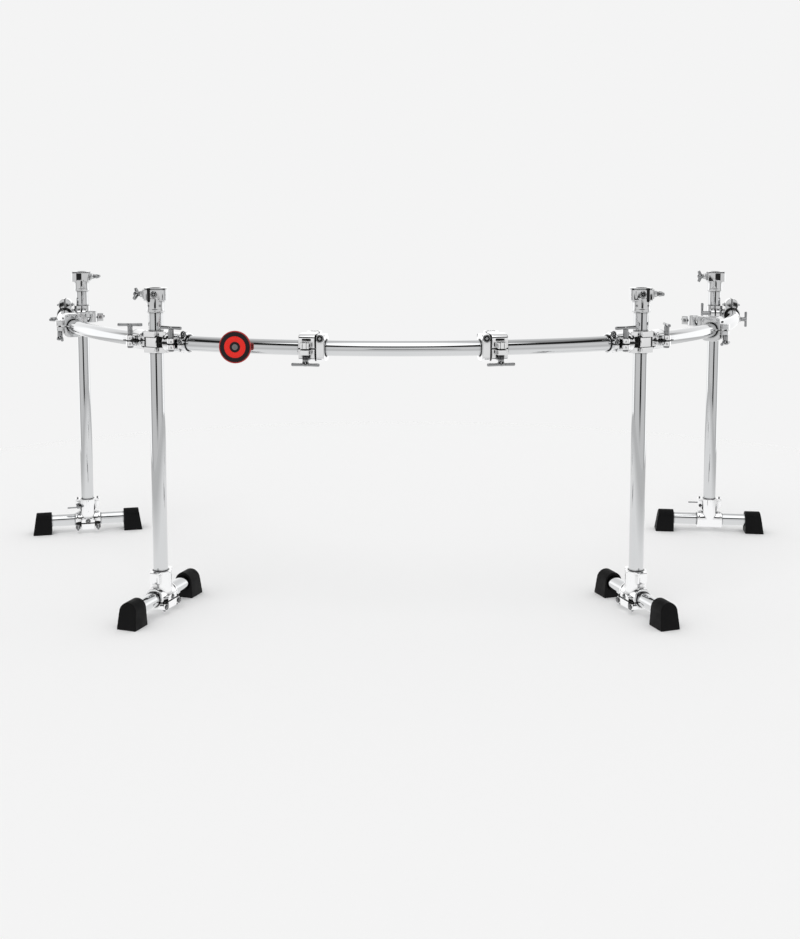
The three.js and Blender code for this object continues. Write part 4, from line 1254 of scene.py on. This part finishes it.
def on_lugs(at, name):
    """Where the T-bolt of a lug pair stands, with its handle as it was tightened."""
    return towards((at, -LUG_OFFSET, LUG_HEIGHT + SEAT_GAP), (0, 0, 1), (1, 0, 0)) @ spun(name)


def under_lugs(at):
    return Matrix.Translation((at, -LUG_OFFSET, -LUG_HEIGHT))


# Painted shade: a black block that fills the slit between two lugs.
def slit_shade(start, end, front=-LUG_OFFSET - 6):
    return block((start, end), (front, -SHADE_BACK), (-SHADE_HALF, SHADE_HALF))


def mouth_shade(x0, x1, rim=2.2):
    """Painted shade: a black ring round a bar where it leaves a clamp, in place of the shade of the bore."""
    return cut(along_x(BORE + rim, x0, x1), along_x(TUBE_RADIUS + 0.4, x0 - 1, x1 + 1))


def dress_corner(side):
    """Both halves of the clamp at a front leg."""
    fork = Seat(side, (-HALF_SPACING, 0.0, BAR_HEIGHT, -FRONT_ANGLE), "front_frame")
    fork.put("corner_casting_*", FORK, CAST_CHROME, "corner_clamp_*")
    fork.bolt("corner_tbolt_*", CORNER_BOLT, on_lugs(FORK_BOLT, "corner"), "corner_bolt_*")
    fork.put("corner_nut_*", NUT, BOLT_CHROME, local=under_lugs(FORK_BOLT))
    for tag, way in (("", 1), ("low_", -1)):
        at = (LOCK_MIDDLE, -LOCK_OUTER - LOCK_LUG / 2, way * LOCK_LUG_HALF)
        fork.screw(f"corner_lock_screw_{tag}*", KEY_SMALL, at, (0, 0, way))
    fork.cup("corner_front_screw_*", SMALL_CUP, (LOCK_MIDDLE, -17, LOCK_CUP_HEIGHT), (0, -1, 0))
    # Painted shade: black blocks in the fork's slit and in its lock ring's slit.
    fork.shade_fill("corner_slit_*", slit_shade(ARM_START + 1, FORK_END - 1))
    fork.shade_fill("corner_lock_slit_*", slit_shade(LOCK_START + 0.8, LOCK_END - 0.8, -32))
    at = (LOCK_MIDDLE, -LOCK_OUTER - LOCK_LUG, 4.5)
    fork.screw("corner_lug_screw_*", KEY_LARGE, at, (0, -1, 0))
    fork.washer("corner_lug_washer_*", 7.2, at, (0, -1, 0))

    tongue = Seat(side, (-HALF_SPACING, 0.0, BAR_HEIGHT, WING_HEADING), f"wing_{side}", other=True)
    tongue.put("wing_casting_*", TONGUE, CAST_CHROME, "wing_clamp_*")
    tongue.bolt("wing_tbolt_*", CORNER_BOLT, on_lugs(TONGUE_BOLT, f"wing_{side}"), "wing_bolt_*")
    # Painted shade: black blocks in the tongue's slit and in the gaps at both sides of its face.
    tongue.shade_fill("wing_slit_*", slit_shade(ARM_START + 1, TONGUE_END - 1))
    left, right = TONGUE_FACE
    face_shade = block((right + 0.3, 17), (-26.5, -20), TONGUE_SPAN)
    tongue.shade_fill("wing_insert_*", moved(face_shade, TONGUE_TURN))
    gap = block((left - 4, left - 0.3), (-24, -12), TONGUE_SPAN)
    tongue.shade_fill("wing_gap_*", moved(gap, TONGUE_TURN))
    tongue.put("wing_nut_*", NUT, BOLT_CHROME, local=under_lugs(TONGUE_BOLT))


def dress_back_clamp(side):
    clamp = Seat(side, BACK_CORNER, f"wing_{side}", other=True)
    clamp.put("back_casting_*", RIGHT_ANGLE, SHADED_CAST_CHROME, "back_clamp_*")
    clamp.bolt("back_tbolt_*", CORNER_BOLT, LEG_SIDE @ on_lugs(0, f"back_leg_{side}"), "back_bolt_*")
    clamp.put("back_nut_*", NUT, BOLT_CHROME, local=LEG_SIDE @ under_lugs(0))
    bar_side = towards(BAR_BOLT_AT, (0, -1, 0), (1, 0, 0)) @ spun(f"back_bar_{side}")
    clamp.bolt("back_bar_tbolt_*", BAR_BOLT, bar_side)
    half = BACK_LENGTH / 2
    # Painted shade: black rings at the sleeve's mouths and a black block in its slit.
    for k, start in enumerate((-half - 0.6, half - 1.4)):
        clamp.shade_fill(f"back_mouth{k}_*", mouth_shade(start, start + 2, 3.6))
    seam_top = LOBE_HEIGHT + LOBE_RADIUS - 0.6
    seam = block((-half + 1, half - 1), (-SHADE_HALF, SHADE_HALF), (BORE + 1, seam_top))
    clamp.shade_fill("back_seam_*", seam)
    for k, x in enumerate((-12, 12)):
        for tag, way in (("out", -1), ("in", 1)):
            at = (x, way * (LOBE_RADIUS - 0.8), LOBE_HEIGHT)
            clamp.screw(f"back_lobe_screw_{tag}{k}_*", KEY_SMALL, at, (0, way, 0))
            clamp.washer(f"back_lobe_washer_{tag}{k}_*", 6.0, at, (0, way, 0))


UNDER_JAW = towards((0, -LUG_OFFSET, -LUG_HEIGHT - SEAT_GAP), (0, 0, -1), (1, 0, 0))
PIN_AT = towards((0, HINGE_Y, 0), (1, 0, 0))


def dress_rod_lug(seat, name):
    """The bolt that closes the receiver behind a multi clamp, and its nut."""
    start = (ROD_LUG_HALF + 0.2, ROD_BOLT_Y, ROD_BOLT_HEIGHT)
    seat.bolt(f"{name}_rod_bolt_*", ROD_BOLT, towards(start, (1, 0, 0), (0, 1, 0)))
    nut_at = (-ROD_LUG_HALF, ROD_BOLT_Y, ROD_BOLT_HEIGHT)
    seat.screw(f"{name}_rod_nut_*", KEY_SMALL, nut_at, (-1, 0, 0))


def dress_multi(side):
    clamp = Seat(side, on_front(MULTI_X[side]), f"multi_clamp_{side}")
    lock = Seat(side, on_front(MULTI_X[side], MULTI_LOCK_SHIFT), f"memory_lock_{side}")
    clamp.put("multi_casting_*", MULTI_BODY, CAST_CHROME, "multi_clamp_*")
    clamp.put("multi_jaw_casting_*", MULTI_JAW, CAST_CHROME, "multi_jaw_*", body="multi_jaw_*")
    clamp.bolt("multi_tbolt_*", MULTI_BOLT, UNDER_JAW, "multi_bolt_*", BOLT_CHROME)
    clamp.put("multi_pin_*", HINGE_PIN, BOLT_CHROME, local=PIN_AT)
    dress_rod_lug(clamp, "multi")
    lock.put("memory_casting_*", MULTI_LOCK, CAST_CHROME, "memory_lock_*")
    lock.cup("memory_screw_*", LARGE_CUP, (0, -28.4, LOCK_SCREW_HEIGHT), (0, -1, 0))
    # Painted shade: a black block in the window's recess, and black rings at the mouths of the lock ring and
    # the clamp.
    window_low, window_high = WINDOW
    window = block((-10.8, 10.8), (-24.6, -20.9), (window_low + 0.2, window_high - 0.2))
    clamp.shade_fill("multi_window_*", window)
    mouth = MULTI_LOCK_HALF - 1
    lock.shade_fill("memory_mouth_*", mouth_shade(mouth, mouth + 1.6))
    clamp.shade_fill("multi_mouth_*", mouth_shade(-MULTI_HALF - 0.6, -MULTI_HALF + 1))
    clamp.put("multi_saddle_*", SADDLE, CAST_CHROME, body="multi_jaw_*")
    clamp.put("multi_neck_*", MULTI_NECK, DARK_STEEL_AND_SHADE, local=UNDER_JAW, body="multi_bolt_*")

    on_bar = Seat(side, on_wing(WING_MULTI_AT[side]), f"wing_multi_clamp_{side}", other=True)
    on_bar.put("wing_multi_casting_*", WING_MULTI, SHADED_CAST_CHROME, "wing_multi_clamp_*")
    on_bar.bolt("wing_multi_tbolt_*", MULTI_BOLT, UNDER_JAW, "wing_multi_bolt_*")
    on_bar.put("wing_multi_saddle_*", SADDLE, CAST_CHROME)
    on_bar.put("wing_multi_pin_*", HINGE_PIN, BOLT_CHROME, local=PIN_AT)
    dress_rod_lug(on_bar, "wing_multi")


def dress_leg(side, end):
    tag = f"{end}_{side}"
    x, y = LEG_AT[end]
    leg = Seat(side, (x, y, LEG_BOTTOM, 0), f"leg_{tag}", tag=tag)
    leg.put("leg_*_tube", LEG_TUBE, TUBE_CHROME, "leg_tube_*")
    crown = Seat(side, (x, y, LEG_TOP, 0 if end == "front" else math.pi), f"leg_{tag}", tag=tag)
    crown.put("receiver_casting_*", RECEIVER, SHADED_CAST_CHROME, "receiver_*")
    crown.put("receiver_bushing_*", BUSHING, NYLON_AND_SHADE)
    crown.cup("receiver_screw_*", SMALL_CUP, (0, -22.4, RECEIVER_MIDDLE), (0, -1, 0))
    for k, angle in enumerate((-52, -128)):
        way = (math.cos(math.radians(angle)), math.sin(math.radians(angle)), 0)
        at = (COLLAR_RADIUS * way[0], COLLAR_RADIUS * way[1], -18)
        crown.screw(f"receiver_collar_screw{k}_*", SET_SCREW, at, way)
    boss = towards((RECEIVER_BOSS - SEAT_GAP, 0, RECEIVER_MIDDLE), (-1, 0, 0), (0, 0, 1))
    crown.bolt("receiver_tbolt_*", HEAD_BOLT, boss @ spun(tag), "receiver_bolt_*")


def dress_foot(side, end):
    tag = f"{end}_{side}"
    flank = 1 if end == "front" else -1
    foot = Seat(side, (*LEG_AT[end], 0, FOOT_YAW[tag]), f"foot_{tag}", tag=tag)
    foot.put("foot_casting_*", FOOT_CLAMP[end], CAST_CHROME, "foot_clamp_*")
    bolt_x, bolt_z = FOOT_BOLT_AT
    seat = towards((bolt_x, -EAR_DEPTH - SEAT_GAP, bolt_z), (0, -1, 0), (-1, 0, 0))
    foot.bolt("foot_tbolt_*", FOOT_BOLT, seat, "foot_bolt_*")
    foot.put("foot_*_tube", FOOT_TUBE, TUBE_CHROME, "foot_tube_*")
    foot.cup("foot_cap_screw_*", SMALL_CUP, (0, flank * FOOT_CAP_FRONT, FOOT_TUBE_HEIGHT), (0, flank, 0))
    # Painted shade: a black block in the slit and a black strip across the cap's front.
    slit = (FOOT_SLIT_HEIGHT - SHADE_HALF, FOOT_SLIT_HEIGHT + SHADE_HALF)
    flanks = sorted((flank * 30, flank * SHADE_BACK))
    foot.shade_fill("foot_slit_*", block((1 - SADDLE_HALF, SADDLE_HALF - 1), flanks, slit))
    foot.shade_fill("foot_seam_*", block((-20.4, 20.4), sorted((flank * 33.7, flank * 31)), (23.6, 25.0)))
    for k, lug_x in enumerate((-FOOT_LUG_X, FOOT_LUG_X)):
        under = (lug_x, flank * FOOT_LUG_Y, FOOT_LUG[0])
        foot.screw(f"foot_side_screw{k}_*", KEY_LARGE, under, (0, 0, -1))
        front = (lug_x, flank * FOOT_LUG_FRONT, 22)
        foot.cup(f"foot_lug_screw{k}_*", SMALL_CUP, front, (0, flank, 0))
    for k, screw_x in enumerate((-FLANGE_SCREW_X, FLANGE_SCREW_X)):
        at = (screw_x, 0, FLANGE_SCREW_HEIGHT)
        foot.screw(f"foot_flange_screw{k}_*", KEY_SMALL, at, (0, 0, 1))
    mouth = FOOT_TUBE_LENGTH / 2 + SEAT_GAP - BOOT_DEPTH
    for letter, turn in (("a", math.pi), ("b", 0.0)):
        local = Matrix.Rotation(turn, 4, "Z") @ Matrix.Translation((mouth, 0, 0))
        foot.put(f"boot_{letter}_*_rubber", BOOT, RUBBER, f"boot_{letter}_*", local=local)


def dress_bars():
    half = FRONT_ANGLE + (FORK_MIDDLE - BAR_SETBACK) / FRONT_RADIUS
    path = [on_front_turn(half * (2 * k / BAR_STEPS - 1)) for k in range(BAR_STEPS + 1)]
    level = (0, 0, 0, 0)
    front = Seat("left", level, "front_frame")
    front.put("front_bar_tube", crisp(tube(path)), TUBE_CHROME, "front_bar")
    wing = tube([on_wing(BAR_SETBACK + WING_LENGTH * k / BAR_STEPS) for k in range(BAR_STEPS + 1)])
    for side in SIDES:
        flipped = Matrix.Scale(-1, 4, (1, 0, 0)) if side == "right" else Matrix.Identity(4)
        seat = Seat("left", level, f"wing_{side}", tag=side)
        seat.put("wing_*_tube", crisp(moved(wing, flipped)), TUBE_CHROME, "wing_bar_*")


def dress_badge():
    """Round badge with a generic face: a red ring round a grey hub on black, in a red rim."""
    seat = Seat("left", on_front(BADGE_X), "front_frame")
    turn = Matrix.Translation((0, BADGE_Y, 0)) @ Matrix.Rotation(BADGE_TURN, 4, "Z")
    facing = turn @ towards((0, 0, 0), (0, -1, 0))
    clip_bore = 19.5
    clip_half = 12
    ends = (-clip_half - OVERRUN, clip_half + OVERRUN)
    clip = cut(
        join(along_x(clip_bore + 3, -clip_half, clip_half), along_y(9, -32.5, 0)),
        along_x(clip_bore, *ends),
        block(ends, (9, 30), (-30, 30)),
    )
    rim = lathe([
        (0, 0), (38.6, 0), (40, 1.4), (40, 4.8), (39.4, 5.9), (38.6, 6.2), (37.8, 5.9), (37.3, 5.0), (0, 5.0),
    ], 128)
    face = lathe([(0, 4), (37.1, 4), (37.1, 5.3), (36.6, 5.5), (0, 5.5)], 128)
    ring = lathe([
        (13.2, 5.2), (26.6, 5.2), (26.6, 5.9), (26.1, 6.2), (13.7, 6.2), (13.2, 5.9),
    ], 128, True)
    hub = lathe([(0, 5.2), (7.2, 5.2), (7.2, 6.0), (6.6, 6.4), (2.6, 6.4), (2.2, 5.8), (0, 5.8)], 64)
    seat.put("badge_clip", cast(clip, 0.7, 4, 3000), FACE_BLACK, local=Matrix.Identity(4))
    seat.put("badge_rim", crisp(rim), RIM_RED, "badge", local=facing)
    seat.put("badge_face", crisp(face), FACE_BLACK, local=facing)
    seat.put("badge_ring", crisp(ring), RED, local=facing)
    seat.put("badge_hub", crisp(hub), HUB_GREY, local=facing)


dress_bars()
dress_badge()
for side in SIDES:
    dress_corner(side)
    dress_back_clamp(side)
    dress_multi(side)
    for end in ENDS:
        dress_leg(side, end)
        dress_foot(side, end)

# Studio: metres on the floor, strengths where 1 is white
FLOOR_RADIUS = 2.55
GLOW_SPAN = (1.2, 2.0)
PAPER = 0.905
PAPER_IN_METAL = 1.0
KEY_STRENGTH = 0.55
AMBIENT = 0.86


def make_floor():
    """A pale paper disc that fades out at its rim, and keeps its brightness in the metal."""
    bm = bmesh.new()
    bmesh.ops.create_circle(bm, cap_ends=True, segments=128, radius=FLOOR_RADIUS)
    floor = linked("studio_floor", mesh_from(bm))
    made, nodes, shader = skin("studio_paper")
    nodes.feed(shader, {"Base Color": (0.9, 0.9, 0.9, 1), "Roughness": 0.9, "Specular IOR Level": 0.0})
    length = nodes.add("VectorMath")
    length.operation = "LENGTH"
    nodes.feed(length, {0: nodes.add("TexCoord").outputs["Object"]})
    away = length.outputs["Value"]
    fade = nodes.ranged(away, FLOOR_RADIUS - 0.12, FLOOR_RADIUS - 0.01, 1.0, 0.0)
    glow = nodes.ranged(away, *GLOW_SPAN, PAPER_IN_METAL, PAPER_IN_METAL * 0.66)
    shine = nodes.add("Emission", {"Strength": glow}).outputs["Emission"]
    glossy = nodes.add("LightPath").outputs["Is Glossy Ray"]
    seen = nodes.add("MixShader", {"Fac": glossy, 1: shader.outputs["BSDF"], 2: shine})
    clear = nodes.add("BsdfTransparent").outputs["BSDF"]
    edge = nodes.add("MixShader", {"Fac": fade, 1: clear, 2: seen.outputs["Shader"]})
    nodes.feed(made.node_tree.nodes["Material Output"], {"Surface": edge.outputs["Shader"]})
    floor.data.materials.append(made)


# What polished metal sees in each direction: (elevation in degrees, brightness)
LOW_WALLS = (
    (-90, 1.18), (-50, 1.15), (-40, 1.0), (-28, 0.8), (-17, 0.7), (-6, 0.77), (5, 0.86), (16, 0.75),
    (30, 0.6),
)
BACK_WALL = (
    (-90, 1.12), (-50, 1.06), (-30, 1.0), (-10, 1.1), (6, 1.22), (17, 1.13), (28, 1.0), (40, 0.85),
    (52, 0.72), (64, 0.66), (78, 0.85), (86, 1.5),
)
CEILING = ((50, 0.3), (62, 0.4), (74, 0.5), (84, 1.4))
BRIGHTEST = 2.0
BLACK = 0.02

# Panels round the rack, in degrees of bearing away from the camera and of elevation. A band starts,
# is full, is still full, and ends.
SOFTBOX = 1.65
SOFTBOX_HALF_WIDTH = 56
BACK_FROM = (112, 132)
FLAG_BEARINGS = (70, 84, 100, 114)
FLAG_FROM = (-16, -12)
FLAG_DEPTH = 0.35
SIDE_PANEL = 1.45
PANEL_BEARINGS = (97, 105, 126, 138)
PANEL_ELEVATIONS = (-24, -16, 16, 22)
RING_LOW = (8, 45, 19.5, 26)
RING_HIGH = (8, 40, 40, 54)
RING_EDGE = 2
STAND_BEARING = 4
STAND_WIDTH = (10, 14)
STAND_ELEVATIONS = (-11, -8.5, -3.5, -2.5)


def make_world():
    """The studio: paper to the camera, an even light on matt surfaces, and walls and panels for metal."""
    world = bpy.data.worlds.new("studio")
    bpy.context.scene.world = world
    world.use_nodes = True
    world.node_tree.nodes.clear()
    nodes = Nodes(world.node_tree)
    do = nodes.math

    def step(value, low, high, first=0.0, second=1.0):
        return nodes.ranged(value, low, high, first, second, soft=True)

    def band(value, start, full, still_full, end):
        return do("MULTIPLY", step(value, start, full), step(value, still_full, end, 1, 0))

    def mix(first, second, share):
        kept = do("MULTIPLY", first, do("SUBTRACT", 1, share))
        return do("ADD", kept, do("MULTIPLY", second, share))

    def ladder(elevation, stops):
        share = do("DIVIDE", do("ADD", elevation, 90), 180)
        ramp = nodes.add("ValToRGB", {"Fac": share})
        steps = ramp.color_ramp.elements
        while len(steps) < len(stops):
            steps.new(0.5)
        for element, (degrees, level) in zip(steps, stops):
            element.position = (degrees + 90) / 180
            element.color = (*[level / BRIGHTEST] * 3, 1)
        return do("MULTIPLY", ramp.outputs["Color"], BRIGHTEST)

    direction = nodes.add("TexCoord").outputs["Generated"]
    x, y, z = nodes.add("SeparateXYZ", {"Vector": direction}).outputs
    degrees = 180 / math.pi
    elevation = do("MULTIPLY", do("ARCSINE", z), degrees)
    bearing = do("MULTIPLY", do("ARCTAN2", x, do("MULTIPLY", y, -1)), degrees)
    away = do("ABSOLUTE", bearing)

    flags = do("MULTIPLY", band(away, *FLAG_BEARINGS), step(elevation, *FLAG_FROM))
    unflagged = do("SUBTRACT", 1, do("MULTIPLY", flags, FLAG_DEPTH))
    walls = do("MULTIPLY", ladder(elevation, LOW_WALLS), unflagged)
    box_side = step(away, SOFTBOX_HALF_WIDTH - 2, SOFTBOX_HALF_WIDTH + 2)
    roof = mix(SOFTBOX, ladder(elevation, CEILING), box_side)
    ring_low = step(away, *RING_LOW)
    ring_high = step(away, *RING_HIGH)
    under_high = do("SUBTRACT", ring_high, RING_EDGE)
    ring = band(elevation, ring_low, do("ADD", ring_low, RING_EDGE), under_high, ring_high)
    front = mix(mix(walls, roof, step(elevation, under_high, ring_high)), BLACK, ring)
    level = mix(front, ladder(elevation, BACK_WALL), step(away, *BACK_FROM))
    panel = do("MULTIPLY", band(away, *PANEL_BEARINGS), band(elevation, *PANEL_ELEVATIONS))
    level = mix(level, SIDE_PANEL, panel)
    off_stand = do("ABSOLUTE", do("SUBTRACT", bearing, STAND_BEARING))
    stand = do("MULTIPLY", step(off_stand, *STAND_WIDTH, 1, 0), band(elevation, *STAND_ELEVATIONS))
    level = mix(level, BLACK, stand)

    path = nodes.add("LightPath").outputs
    shade = mix(mix(AMBIENT, level, path["Is Glossy Ray"]), PAPER, path["Is Camera Ray"])
    background = nodes.add("Background", {"Color": (1, 1, 1, 1), "Strength": shade})
    nodes.add("OutputWorld", {"Surface": background.outputs["Background"]})


def make_lamp():
    lamp = bpy.data.lights.new("key", "SUN")
    lamp.energy = KEY_STRENGTH
    lamp.angle = math.radians(35)
    o = linked("key", lamp)
    o.rotation_euler = (math.radians(28), math.radians(-14), 0)
    o.visible_glossy = False


# The photograph's viewpoint, in metres, millimetres of lens and radians of downward tilt
CAMERA_AT = (-0.0003, -3.4983, 1.046)
CAMERA_TILT = 0.1026
CAMERA_LENS = 47.85
CAMERA_SHIFT = (0.0017, -0.1432)


def make_camera():
    data = bpy.data.cameras.new("camera")
    data.lens = CAMERA_LENS
    data.shift_x, data.shift_y = CAMERA_SHIFT
    data.clip_start = 0.05
    data.clip_end = 50
    o = linked("camera", data)
    o.location = CAMERA_AT
    o.rotation_euler = (math.pi / 2 - CAMERA_TILT, 0, 0)
    bpy.context.scene.camera = o


make_floor()
make_world()
make_lamp()
make_camera()
bpy.context.scene.view_settings.view_transform = "Standard"
